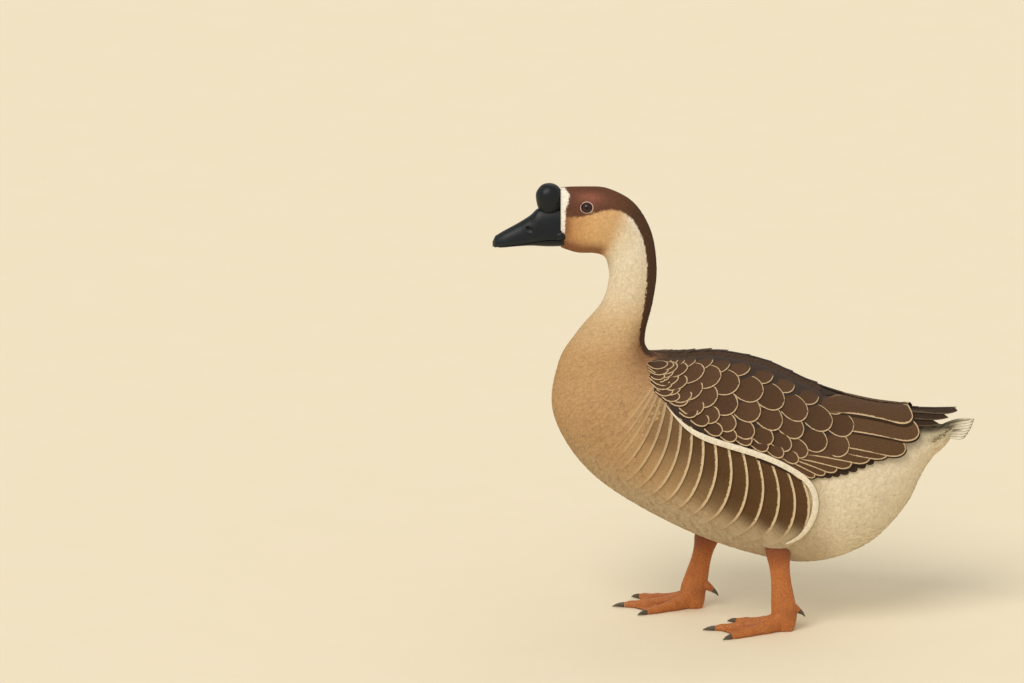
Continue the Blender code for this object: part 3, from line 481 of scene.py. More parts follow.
# Vanes. A shape gives the stations along a feather, its half width there, and one section:
# how far across each point lies and how high, in turn round the vane.
softVane = {
    "along": np.array((0.0, 0.34, 0.66, 0.88, 1.0)), "wide": np.array((0.30, 0.88, 1.0, 0.74, 0.16)),
    "across": np.array((-1.0, 0.0, 1.0, 0.0)), "thick": np.array((0.0, 1.0, 0.0, -1.0)),
}
tinyVane = {
    "along": np.array((0.0, 0.5, 0.85, 1.0)), "wide": np.array((0.40, 1.0, 0.70, 0.12)),
    "across": np.array((-1.0, 0.0, 1.0, 0.0)), "thick": np.array((0.0, 1.0, 0.0, -1.0)),
}


def vanesOn(rows, u, angle, length, width, turn, low, high, shape, thick=0.00022, camber=0.10, tilt=0.0):
    # Feathers rooted at (u, angle): lengths and widths are laid out on the surface by its local
    # scale, and each vane rises along a bow from low, at the root, to high, at its tip. It bends
    # down to both sides by camber, and its lower side stands out by tilt.
    along, wide, across = shape["along"], shape["wide"], shape["across"]
    a = length[:, None, None] * along[None, :, None] + 0 * across
    b = width[:, None, None] * wide[None, :, None] * across[None, None, :]
    turn = turn[:, None, None]
    a, b = a * np.cos(turn) - b * np.sin(turn), a * np.sin(turn) + b * np.cos(turn)
    halfway = u
    for _ in range(2):
        scaleU, scaleA = scales(rows, halfway, angle)
        halfway = u + length * 0.5 / scaleU
    rise = low[:, None, None] + (high - low)[:, None, None] * (along ** 0.8)[None, :, None]
    rise = rise - camber * np.abs(b) + tilt * b + shape["thick"] * thick
    u, angle, scaleU, scaleA = (v[:, None, None] for v in (u, angle, scaleU, scaleA))
    return onForm(rows, u + a / scaleU, angle + b / scaleA, rise)


def edgeDistance(length, width, shape):
    # Distance of each vane point from the vane's outline, in metres, seen flat.
    station = np.arange(len(shape["along"]))
    between = np.linspace(0, station[-1], 4 * len(station))
    fine = np.stack([np.interp(between, station, shape[key]) for key in ("along", "wide")], -1)
    at = stacked(shape["along"][:, None], shape["wide"][:, None] * np.abs(shape["across"]))
    away = (at[None, :, :, None] - fine[None, None, None]) * np.stack((length, width), -1)[:, None, None, None, :]
    return np.linalg.norm(away, axis=-1).min(-1)


def vaneMaps(u, angle, span, shape, size=0.003):
    # The bake map, with each vane a small patch at its root's place on the skin's own unwrap, and
    # the vane's own map, across and along it.
    along, across = shape["along"][None, :, None], (shape["wide"][:, None] * shape["across"])[None]
    rootU = ((angle % (2 * pi)) / (2 * pi))[:, None, None]
    rootV = ((u - span[0]) / (span[1] - span[0]))[:, None, None]
    mapU = size + (1 - 2 * size) * rootU + across * size / 2
    mapV = size + (1 - 2 * size) * rootV + (along - 0.5) * size
    return {"OFBake": stacked(mapU, mapV), "vane": stacked(0.5 + across / 2, along + 0 * rootU)}


def layVanes(name, points, tint, edge, material, maps, replaces=()):
    # One piece of like vanes: points, tint and distance from the edge for each vane, ring and place
    # on the ring.
    many, steps, count = points.shape[:3]
    starts = (np.arange(many) * steps * count)[:, None, None]
    faces = (sleeveFaces(steps, count)[None] + starts).reshape(-1, 4)
    layers = {"tint": tint, "edge": edge.reshape(-1, 1)}
    makePiece(name, points, faces, material, layers, maps, replaces)
    print(name, many, "feathers", len(faces) * 2, "triangles")


def lattice(rows, span, pitch, gap):
    # Roots in rows down the body: lines of equal angle spaced by pitch round the middle ring, and
    # along each of them a root every gap, every second line half a step on.
    stagger, jitter = 0.5, 0.25
    fine = np.linspace(0, 2 * pi, 721)
    arc = runOf(ringPoint(rows, (span[0] + span[1]) / 2, fine))
    count = 2 * int(arc[-1] / pitch / 2)
    angles = np.interp((np.arange(count) + 0.5) / count * arc[-1], arc, fine)
    fineU = np.linspace(*span, 200)
    lines = ringPoint(rows, fineU[:, None], angles[None, :])
    steps = np.linalg.norm(np.diff(lines, axis=0), axis=2)
    run = np.concatenate((np.zeros((1, count)), np.cumsum(steps, 0))) / gap
    most = int(run[-1].max()) + 1
    wanted = np.arange(most)[:, None] + stagger * (np.arange(count) % 2)
    wanted = wanted + jitter * dice.uniform(-0.5, 0.5, (most, count))
    u = np.stack([np.interp(wanted[:, k], run[:, k], fineU, right=np.nan) for k in range(count)], 1)
    angle = np.broadcast_to(angles, u.shape) + jitter * dice.uniform(-0.5, 0.5, u.shape) * 2 * pi / count
    here = ~np.isnan(u)
    return u[here], angle[here] % (2 * pi)


def foldedDegrees(angle):
    # Degrees from the back, the same on both sides.
    return np.degrees(np.abs((angle + pi) % (2 * pi) - pi))


def wingEdges(u):
    # Upper and lower edge of the folded wing, in degrees from the back.
    top = np.interp(u, (9.54, 9.6, 9.72, 10.4, 11.5, 15, 16.3), (26, 16, 9, 8, 9, 12, 24))
    low = np.interp(u, (9.54, 9.64, 9.78, 10.26, 10.4, 10.81, 11.0, 12.34, 12.84, 13.14, 14, 15, 16.3),
                    (30, 44, 54, 61, 66, 73, 75, 75.5, 79, 82, 77, 67, 46))
    return top, low


def underWing(u, angle):
    # True where a root lies well under the folded wing, where no body feather shows.
    top, low = wingEdges(u)
    degrees = foldedDegrees(angle)
    return (u > 9.6) & (u < 16.2) & (degrees > top + 5) & (degrees < low - 7)


def inEye(u, angle, length):
    # True where a feather's root or tip would reach into an eye.
    along = slopes(bodyRows, u, angle)[0]
    root = ringPoint(bodyRows, u, angle)
    folded = np.array((1, -1, 1)) * np.array(eye["centre"])
    near = np.zeros(len(u), bool)
    for share in (0.0, 0.5, 1.0):
        at = root + unit(along) * (length * share)[:, None]
        at[:, 1] = -np.abs(at[:, 1])
        near |= np.linalg.norm(at - folded, axis=1) < math.hypot(eye["opening"] + 2.4 * eye["lid"], 0.0062)
    return near


coats = (  # each piece of the coat: where, spacing round and along, size, share of pale rim, how loose
    {"name": "coatFace", "span": (0.015, 2.7), "pitch": 0.0022, "gap": 0.0028, "length": 0.0068, "width": 0.0023,
     "rim": 0.0, "loose": 0.08, "shape": tinyVane, "slot": "crown_feather"},
    {"name": "coatNape", "span": (2.6, 4.9), "pitch": 0.0024, "gap": 0.0036, "length": 0.0100, "width": 0.0027,
     "rim": 0.0, "loose": 0.08, "shape": tinyVane, "slot": "neck_feather"},
    {"name": "coatThroat", "span": (4.8, 6.9), "pitch": 0.0028, "gap": 0.0044, "length": 0.0130, "width": 0.0033,
     "rim": 0.03, "loose": 0.07, "shape": softVane, "slot": "neck_feather"},
    {"name": "coatCollar", "span": (6.8, 8.2), "pitch": 0.0034, "gap": 0.0052, "length": 0.0160, "width": 0.0042,
     "rim": 0.06, "loose": 0.06, "shape": softVane, "slot": "neck_feather"},
    {"name": "coatBreast", "span": (8.1, 9.6), "pitch": 0.0042, "gap": 0.0062, "length": 0.0200, "width": 0.0054,
     "rim": 0.10, "loose": 0.06, "shape": softVane, "slot": "body_feather"},
    {"name": "coatKeel", "span": (9.5, 11.3), "pitch": 0.0048, "gap": 0.0068, "length": 0.0220, "width": 0.0062,
     "rim": 0.14, "loose": 0.06, "shape": softVane, "slot": "body_feather"},
    {"name": "coatBelly", "span": (11.2, 13.4), "pitch": 0.0056, "gap": 0.0078, "length": 0.0240, "width": 0.0070,
     "rim": 0.12, "loose": 0.06, "shape": softVane, "slot": "body_feather"},
    {"name": "coatVent", "span": (13.1, 17.2), "pitch": 0.0052, "gap": 0.0076, "length": 0.0320, "width": 0.0070,
     "rim": 0.08, "loose": 0.07, "shape": softVane, "slot": "body_feather"},
    {"name": "coatRump", "rows": rumpRows, "span": (17.0, 19.9), "pitch": 0.0034, "gap": 0.0052, "length": 0.0210,
     "width": 0.0048, "rim": 0.08, "loose": 0.07, "shape": softVane, "slot": "tail_feather"},
)
thighCoat = {
    "span": (0.2, 3.7), "pitch": 0.0040, "gap": 0.0060, "length": 0.0165, "width": 0.0050, "rim": 0.1,
    "loose": 0.07, "shape": softVane, "slot": "body_feather",
    "under": 0.215,  # above this height the flank's feathers lie over it
}
flank = {
    "tips": (9.78, 9.92, 10.07, 10.23, 10.40, 10.58, 10.77, 10.97, 11.18, 11.40, 11.64, 11.90, 12.17,
             12.45, 12.74, 13.00),
    "lowEnds": ((9.6, 84), (9.9, 108), (10.2, 124), (10.7, 136), (11.6, 138), (12.3, 138), (13.04, 134)),
    "width": 0.0150, "length": 0.042, "step": 0.0150, "tip": 0.12, "blunt": 3.5,
    "tone": (92, 66, 41), "rim": (218, 194, 154), "rimWidth": 0.0042,
    # The pale line: where it runs (station, degrees from the back), and its feathers.
    "path": ((10.22, 62), (10.45, 68), (10.81, 75.5), (11.2, 77.5), (11.8, 77.5), (12.34, 78.5), (12.80, 82),
             (13.04, 88), (13.12, 97), (13.06, 108), (12.93, 118), (12.76, 127), (12.56, 133)),
    "lineWidth": 0.0050, "lineLength": 0.022, "lineStep": 0.0034, "line": (240, 228, 204),
}


def lowEnd(u):
    # How far down the barred flank reaches, in degrees from the back.
    return np.interp(u, *zip(*flank["lowEnds"]))


def inFlank(u, angle):
    # True well inside the barred flank, which is feathered by itself.
    degrees = foldedDegrees(angle)
    aft = 12.7 - 0.012 * np.maximum(degrees - 100, 0)
    return (u > 9.95) & (u < aft) & (degrees > 60) & (degrees < lowEnd(u) - 9)


def makeCoat(spec, material):
    # Lays a lattice of vanes over one stretch of the body, each in the tone of its own place.
    rows = spec.get("rows", bodyRows)
    u, angle = lattice(rows, spec["span"], spec["pitch"], spec["gap"])
    length = spec["length"] * dice.uniform(0.86, 1.14, len(u))
    onThigh = "under" in spec
    if onThigh:
        keep = ringPoint(rows, u, angle)[:, 2] < spec["under"]
    else:
        keep = ~underWing(u, angle) & ~inFlank(u, angle) & ~inEye(u, angle, length)
    u, angle, length = u[keep], angle[keep], length[keep]
    many, shape = len(u), spec["shape"]
    width = spec["width"] * dice.uniform(0.88, 1.12, many)
    turn = spec["loose"] * dice.normal(0, 1, many)
    depth = np.full(many, thighDepth) if onThigh else coatDepth(u)
    high = depth * dice.uniform(-0.08, 0.06, many)
    points = vanesOn(rows, u, angle, length, width, turn, -depth * 0.9, high, shape, camber=0.025)
    reach = length * 0.6 / scales(rows, u, angle)[0]
    colour = np.broadcast_to(tone(*marks["paunch"]), (many, 3)) if onThigh else plumageTone(u + reach, angle)
    colour = colour * dice.uniform(0.93, 1.06, (many, 1))
    # Painted shade: each vane darker towards its root, which lies under the tips of the ones before it.
    rootShade = np.interp(shape["along"], (0, 0.5, 1), (0.90, 0.97, 1.02))[None, :, None, None]
    rim = spec["rim"] * fade(0.08, 0.30, colour.mean(-1))[:, None, None]
    tint = withAlpha(np.broadcast_to(colour[:, None, None] * rootShade, points.shape), rim)
    layVanes(spec["name"], points, tint, edgeDistance(length, width, shape), material,
             vaneMaps(u, angle, spec["span"], shape))


# Wings: a thin pad on the body, coverts in rows over it, and the flight feathers fanned behind.
def vaneShape(tip, steps, count, base=0.5, blunt=2.0):
    # A vane whose last share is half an ellipse, squarer where the power blunt is over 2, with a
    # flat oval section of count points.
    turn = np.linspace(0, pi / 2, steps - steps // 2)
    along = np.concatenate((np.linspace(0, 1 - tip, steps // 2, endpoint=False), 1 - tip + tip * np.sin(turn)))
    wide = np.interp(along, (0, (1 - tip) * 0.7, 1 - tip), (base, 0.96, 1))
    wide = wide * np.clip(1 - (np.maximum(along - 1 + tip, 0) / tip) ** blunt, 0.004, 1) ** (1 / blunt)
    ring = 2 * pi * np.arange(count) / count
    return {"along": along, "wide": wide, "across": -np.cos(ring), "thick": np.sin(ring)}


wing = {
    "coverts": (  # row's place between the wing's edges, half width, length, how high, tips' stations
        (0.16, 0.0270, 0.060, 0.0012,
         (9.90, 10.08, 10.30, 10.56, 10.87, 11.24, 11.68, 12.17, 12.70, 13.28, 13.92)),
        (0.42, 0.0260, 0.060, 0.0009,
         (9.84, 10.00, 10.20, 10.45, 10.75, 11.09, 11.50, 11.96, 12.46, 13.00, 13.56, 14.10)),
        (0.66, 0.0225, 0.054, 0.0006,
         (9.90, 10.06, 10.26, 10.50, 10.80, 11.14, 11.53, 11.96, 12.42, 12.90, 13.40, 13.90)),
        (0.84, 0.0160, 0.042, 0.0003,
         (9.86, 9.99, 10.16, 10.38, 10.64, 10.92, 11.22, 11.54, 11.88, 12.24, 12.62, 13.00)),
        (0.945, 0.0115, 0.032, 0.0,
         (9.93, 10.08, 10.24, 10.42, 10.62, 10.84, 11.08, 11.33, 11.59, 11.87, 12.16, 12.48, 12.80)),
    ),
    "topTilt": 0.11, "tilt": 0.05,  # how far a covert's lower side stands out, in the top row and below
    "quills": (  # root (x, z), tip (x, z), half width, height at the root and at the tip, tone
        (0.200, 0.3480, 0.3380, 0.3410, 0.0080, 0.0025, 0.0042, "dusk"),
        (0.206, 0.3560, 0.3540, 0.3475, 0.0085, 0.0029, 0.0060, "dusk"),
        (0.212, 0.3620, 0.3700, 0.3535, 0.0090, 0.0033, 0.0070, "dusk"),
        (0.145, 0.3960, 0.3060, 0.3590, 0.0120, 0.0028, 0.0082, "dusk"),
        (0.040, 0.3200, 0.1170, 0.2725, 0.0072, 0.0014, 0.0046, "web"),
        (0.046, 0.3200, 0.1320, 0.2755, 0.0080, 0.0018, 0.0050, "web"),
        (0.052, 0.3210, 0.1490, 0.2795, 0.0090, 0.0022, 0.0055, "web"),
        (0.060, 0.3200, 0.1680, 0.2845, 0.0100, 0.0026, 0.0060, "web"),
        (0.070, 0.3180, 0.1920, 0.2920, 0.0118, 0.0028, 0.0067, "web"),
        (0.085, 0.3230, 0.2220, 0.2990, 0.0130, 0.0030, 0.0074, "web"),
        (0.098, 0.3310, 0.2530, 0.3050, 0.0148, 0.0023, 0.0084, "web"),
        (0.108, 0.341, 0.2800, 0.3080, 0.0160, 0.0027, 0.0101, "web"),
        (0.118, 0.361, 0.3030, 0.3290, 0.0165, 0.0031, 0.0118, "web"),
        (0.126, 0.380, 0.2940, 0.3460, 0.0128, 0.0035, 0.0135, "web"),
    ),
    # A dusky feather lies under each web, shifted by this row, and more of them below, a painted shadow under
    # the wing's edge: how many, the line of their tips (x, z), and root from tip (x, z), half width and heights.
    "under": (0.0, -0.0030, 0.0018, -0.0022, 0.0, -0.0007, -0.0011), "fringeCount": 14,
    "fringeTips": ((0.118, 0.2735), (0.140, 0.2755), (0.165, 0.2750), (0.195, 0.2800), (0.225, 0.2895),
                   (0.252, 0.3010), (0.276, 0.3120)),
    "fringe": (-0.080, 0.036, 0.0080, 0.0010, 0.0032),
    "span": (9.45, 16.3), "padRim": 0.0012,  # the pad's stations, and its height at its edges
    "web": (93, 67, 44), "dusk": (60, 44, 31), "covert": (87, 62, 42), "pad": (58, 41, 30),
    "rim": (206, 178, 138), "rimWidth": 0.0018,
}


def atlas(many, shape):
    # The bake map of large feathers: each has a cell of its own, and the vane's own map.
    side = math.ceil(math.sqrt(many))
    cell = np.arange(many)[:, None, None]
    across = shape["wide"][:, None] * shape["across"]
    along = 0.04 + 0.92 * shape["along"][:, None]
    bake = stacked((cell % side) / side + (0.5 + 0.44 * across) / side, (cell // side) / side + along / side)
    return {"OFBake": bake, "vane": np.broadcast_to(stacked(0.5 + 0.5 * across, along), bake.shape)}


def padHeight(u):
    return np.interp(u, (9.45, 9.9, 11, 13, 15, 16.3), (0.0016, 0.0036, 0.0044, 0.0050, 0.0060, 0.0030))


def bedPlace(x, z):
    # Where on the wing's bed a point seen from the side lies: the nearest of a grid of places,
    # then a few of Newton's steps, along the surface's slopes, to what is still missing.
    last = len(wingRows) - 1
    u, angle = np.meshgrid(np.linspace(9.45, last, 84), np.radians(np.linspace(3, 95, 40)), indexing="ij")
    seen = ringPoint(wingRows, u, angle)[..., (0, 2)].reshape(-1, 2)
    wanted = np.stack((x, z), -1).reshape(-1, 2)
    near = np.argmin(((wanted[:, None] - seen[None]) ** 2).sum(-1), 1)
    place = np.stack((u.ravel()[near], angle.ravel()[near]), -1)
    for _ in range(6):
        along, across = slopes(wingRows, *place.T)
        turn = np.stack((along[:, (0, 2)], across[:, (0, 2)]), -1) + 1e-6 * np.eye(2)
        missing = wanted - ringPoint(wingRows, *place.T)[:, (0, 2)]
        place = place + np.clip(np.linalg.solve(turn, missing[..., None])[..., 0], -0.2, 0.2)
        place = np.clip(place, (9.45, 0.05), (last, 1.65))
    return place[:, 0].reshape(x.shape), place[:, 1].reshape(x.shape)


def makeWing(name, side, material, padPaint):
    # Pad first, closed between an outer and an inner face.
    flip = np.array((1, -side, 1))
    first, last = wing["span"]
    u, q = np.linspace(first, last, 60), np.linspace(0, 1, 26)
    top, low = (np.radians(edge)[:, None] for edge in wingEdges(u))
    angle = top + (low - top) * q
    rise = wing["padRim"] + (padHeight(u)[:, None] - wing["padRim"]) * np.sin(pi * q) ** 0.5
    deep = np.interp(u, (9.45, 14, 15.2, 16.3), (0.009, 0.009, 0.004, 0.001))[:, None]
    outer, inner = onForm(wingRows, u[:, None], angle, rise), onForm(wingRows, u[:, None], angle[:, ::-1], -deep)
    place = stacked(np.concatenate((q, q[::-1])), (u[:, None] - first) / (last - first))
    points = np.concatenate((outer, inner), 1) * flip
    makePiece(f"wingPad_{name}", points, sleeveFaces(60, 52), padPaint, maps={"OFBake": place})

    # Coverts: each rises from the pad to its tip over the next, and its lower edge over the row below.
    shape = vaneShape(0.42, 14, 12)
    rows = []
    for share, width, length, over, tips in wing["coverts"]:
        tips = np.array(tips) + dice.uniform(-0.02, 0.02, len(tips))
        top, low = wingEdges(np.maximum(tips - 0.4, 9.65))
        scale = np.clip((low - top) / 58, 0.42, 1.0)
        angle = top + (low - top) * (share + dice.uniform(-0.015, 0.015, len(tips)))
        stands = wing["topTilt"] if share < 0.3 else wing["tilt"]
        length = length * np.clip(scale * 1.15, 0.5, 1)
        rows.append(stacked(tips, np.radians(angle), width * scale, length, over, stands))
    tips, angle, width, length, over, stands = np.vstack(rows).T
    u = tips
    for _ in range(3):
        u = tips - length / scales(wingRows, (u + tips) / 2, angle)[0]
    turn = dice.uniform(-0.05, 0.05, len(u)) + 0.04
    onTop = (stands > wing["tilt"])[:, None, None]
    base = padHeight(tips) + over - 0.0030 * onTop.ravel()
    points = vanesOn(wingRows, u, angle, length, width, turn, base - 0.0030, base + 0.0026, shape, 0.0004, 0.05,
                     stands[:, None, None])
    tones = tone(*wing["covert"]) * dice.uniform(0.88, 1.14, (len(u), 1))
    # Painted shade: each covert darker towards its root, which lies under the tips of the ones before it.
    rootShade = np.interp(shape["along"], (0, 0.4, 1), (0.62, 0.92, 1.08))[None, :, None, None]
    # The top row has no pale rim towards the back and takes on the back's tone there.
    backward = np.broadcast_to(onTop * fade(0.1, -0.6, shape["across"]), points.shape[:-1])
    colour = blend(tones[:, None, None] * rootShade, tone(*marks["back"]) * 0.9, backward)
    layVanes(f"wingCoverts_{name}", points * flip, withAlpha(colour, 1 - backward),
             edgeDistance(length, width, shape), material, atlas(len(u), shape), (f"wing_{name}",))

    # Flight feathers: laid out as seen from the side, then carried on to the bed.
    shape = vaneShape(0.16, 22, 12, 0.6)
    quills = np.array([row[:7] for row in wing["quills"]])
    web = np.array([row[7] == "web" for row in wing["quills"]])
    tips = np.array(wing["fringeTips"])
    tips = throughRows(tips, np.linspace(0, len(tips) - 1, wing["fringeCount"]))
    rest = np.broadcast_to(wing["fringe"][2:], (len(tips), 3))
    fringe = np.column_stack((tips + wing["fringe"][:2], tips, rest))
    dusk = np.pad(~web, (0, web.sum() + len(fringe)))
    quills = np.vstack((quills, quills[web] + wing["under"], fringe))
    web = np.pad(web, (0, len(quills) - len(web)))
    rootX, rootZ, tipX, tipZ, width, low, high = quills.T[:, :, None, None]
    s, b = shape["along"][None, :, None], shape["wide"][None, :, None] * shape["across"]
    b = b * (1 - 0.72 * dusk[:, None, None] * s ** 6)
    length = np.hypot(tipX - rootX, tipZ - rootZ)
    wayX, wayZ = (tipX - rootX) / length, (tipZ - rootZ) / length
    down = width * b - 0.004 * np.sin(pi * s)
    seenX, seenZ = rootX + wayX * length * s + wayZ * down, rootZ + wayZ * length * s - wayX * down
    u, angle = bedPlace(*np.broadcast_arrays(seenX, seenZ))
    lift = low + (high - low) * s + 0.0010 * b - 0.02 * width * b ** 2 + 0.00030 * shape["thick"]
    points = onForm(wingRows, u, angle, lift)
    # The dusk tone is the primaries' own; on the feathers under the webs and on the fringe it is painted shadow.
    tones = np.where(web[:, None], tone(*wing["web"]), tone(*wing["dusk"]))
    tones = tones * dice.uniform(0.92, 1.08, (len(quills), 1))
    rims = (web + 0.12 * dusk)[:, None, None] * fade(0.15, 0.4, s)
    tint = withAlpha(np.broadcast_to(tones[:, None, None], points.shape), rims)
    layVanes(f"wingQuills_{name}", points * flip, tint, edgeDistance(length.ravel(), width.ravel(), shape),
             material, atlas(len(quills), shape))


tail = {
    "feathers": 6, "step": 4.7,  # on each side of the middle one, and the degrees between them
    "pivot": (0.3180, 0.3160), "reach": (0.0150, 0.0655), "width": 0.0105, "roof": 0.42,
    "bow": 0.0268, "bowEnd": 0.0805,  # how high the fan rises, and the reach at which it stops rising
    "web": (236, 225, 198), "base": (190, 175, 138), "stroke": (88, 72, 48), "stroked": (1, 3),
    "rim": (98, 79, 52), "rimWidth": 0.0010,
}


def makeTail(material):
    # Feathers fanned from a pivot inside the tail's mound, the middle one on top, each a little roofed.
    shape = vaneShape(0.22, 16, 8, 0.6)
    k = np.arange(-tail["feathers"], tail["feathers"] + 1)[:, None, None]
    spread, out = np.radians(tail["step"] * k), np.abs(k) * tail["step"] / 5.6
    s, b = shape["along"][None, :, None], shape["wide"][None, :, None] * shape["across"]
    reach = tail["reach"][0] + (tail["reach"][1] - 0.0014 * out) * s
    v = b * tail["width"]
    drop = 0.0030 * out + 0.0014 * out * s ** 2 + np.where(k > 0, 0.0006, 0)
    outward = np.where(k == 0, np.abs(b), np.sign(k) * b)
    bow = tail["bow"] * (1 - np.clip(1 - reach / tail["bowEnd"], 0, 1) ** 2.2)
    rise = bow - drop - tail["roof"] * tail["width"] * outward + 0.0003 * shape["thick"]
    x = tail["pivot"][0] + np.cos(spread) * reach - np.sin(spread) * v
    y = np.sin(spread) * reach + np.cos(spread) * v
    points, many = stacked(x, y, tail["pivot"][1] + rise), len(k)
    # Only the outer edge of each shows: a greyer base, and on some a dark stroke along that edge.
    strong = np.where(np.isin(np.abs(k), tail["stroked"]), 0.9, 0.0)
    stroke = strong * np.exp(-((outward - 0.72) / 0.22) ** 2) * fade(0.85, 0.60, s + 0.2 * (np.abs(k) == 1))
    greyed = np.broadcast_to(0.8 * fade(0.85, 0.40, s), points.shape[:-1])
    colour = blend(tone(*tail["web"]), tone(*tail["base"]), greyed)
    # Painted shade: a darker band along the middle feather's ridge.
    stroke = stroke + 0.5 * (k == 0) * np.clip(1 - np.abs(b) / 0.7, 0, 1)
    colour = blend(colour, tone(*tail["stroke"]), np.broadcast_to(stroke, points.shape[:-1]))
    edge = edgeDistance(np.full(many, tail["reach"][1]), np.full(many, tail["width"]), shape)
    rims = np.where(np.abs(k) == tail["feathers"], 0.9, 0.30 + 0.6 * fade(0.86, 0.95, s))
    layVanes("tailFeathers", points, withAlpha(colour, rims), edge, material, atlas(many, shape),
             ("tail",))


# Bill: half sections along the culmen, a nail at the tip, nostrils and a grooved cutting edge.
upperBill = np.array((  # x, culmen z, cutting edge z, half width
    (-0.2800, 0.7016, 0.6506, 0.0200), (-0.3061, 0.7016, 0.6515, 0.0210), (-0.3226, 0.7000, 0.6489, 0.0205),
    (-0.3358, 0.6880, 0.6464, 0.0195), (-0.3523, 0.6770, 0.6438, 0.0180), (-0.3688, 0.6676, 0.6413, 0.0165),
    (-0.3820, 0.6602, 0.6392, 0.0145), (-0.3919, 0.6535, 0.6372, 0.0110), (-0.3975, 0.6460, 0.6357, 0.0055),
))
lowerBill = np.array((  # x, underside z, half width
    (-0.2800, 0.6372, 0.0185), (-0.3061, 0.6366, 0.0190), (-0.3358, 0.6384, 0.0172), (-0.3605, 0.6372, 0.0150),
    (-0.3800, 0.6355, 0.0125), (-0.3880, 0.6352, 0.0080),
))
bill = {
    "tone": (15, 20, 23), "wornAndSheen": (48, 54, 57), "nostril": (-0.3370, 0.6690), "nostrilSize": (0.0064, 0.0024),
    "nostrilRim": (0.0090, 0.0048), "nostrilDepth": 0.0034, "grooveUp": 0.0034, "grooveWidth": 0.0011,
    "lamella": 0.0011,  # the lower bill's ribs, from one to the next
    "knobCentre": (-0.3042, 0.0, 0.7206), "knobRadii": (0.0222, 0.0195, 0.0225), "knobDrop": 1.5,
    "knobBack": -0.2825, "cornerCentre": (-0.2850, 0.0190, 0.6575), "cornerRadii": (0.0095, 0.0042, 0.0070),
}


def ballGrid(steps, count):
    # A ball about X, by the tilt from that axis and the turn round it, and its bake map.
    turn, tilt = turns(count), np.linspace(0.02, pi - 0.02, steps)[:, None]
    ball = stacked(np.cos(tilt), np.sin(tilt) * np.sin(turn), np.sin(tilt) * np.cos(turn))
    return ball, unwrap(turn, tilt / pi)


def hornMaterial(name, base, wornAndSheen, roughness):
    # Horn: its own tone, paler where the layer says, with fine grain and pores; on the bill the layer also holds a
    # painted highlight under the lower cutting edge and painted shade in the nostrils.
    made, tree, shader = newMaterial(name, roughness, Specular_IOR_Level=0.28)
    wearShadeAndSheen = node(tree, "Attribute", attribute_name="wearShadeAndSheen").outputs["Fac"]
    grain = noise(tree, 180.0, 4.0)
    share = maths(tree, "MULTIPLY", maths(tree, "ADD", wearShadeAndSheen, maths(tree, "MULTIPLY", grain, 0.25)), 0.8)
    tree.links.new(mixed(tree, share, (*tone(*base), 1.0), (*tone(*wornAndSheen), 1.0)), shader.inputs["Base Color"])
    bumped(tree, shader, noise(tree, 620.0, 3.0), 0.28, 0.0004)
    return made


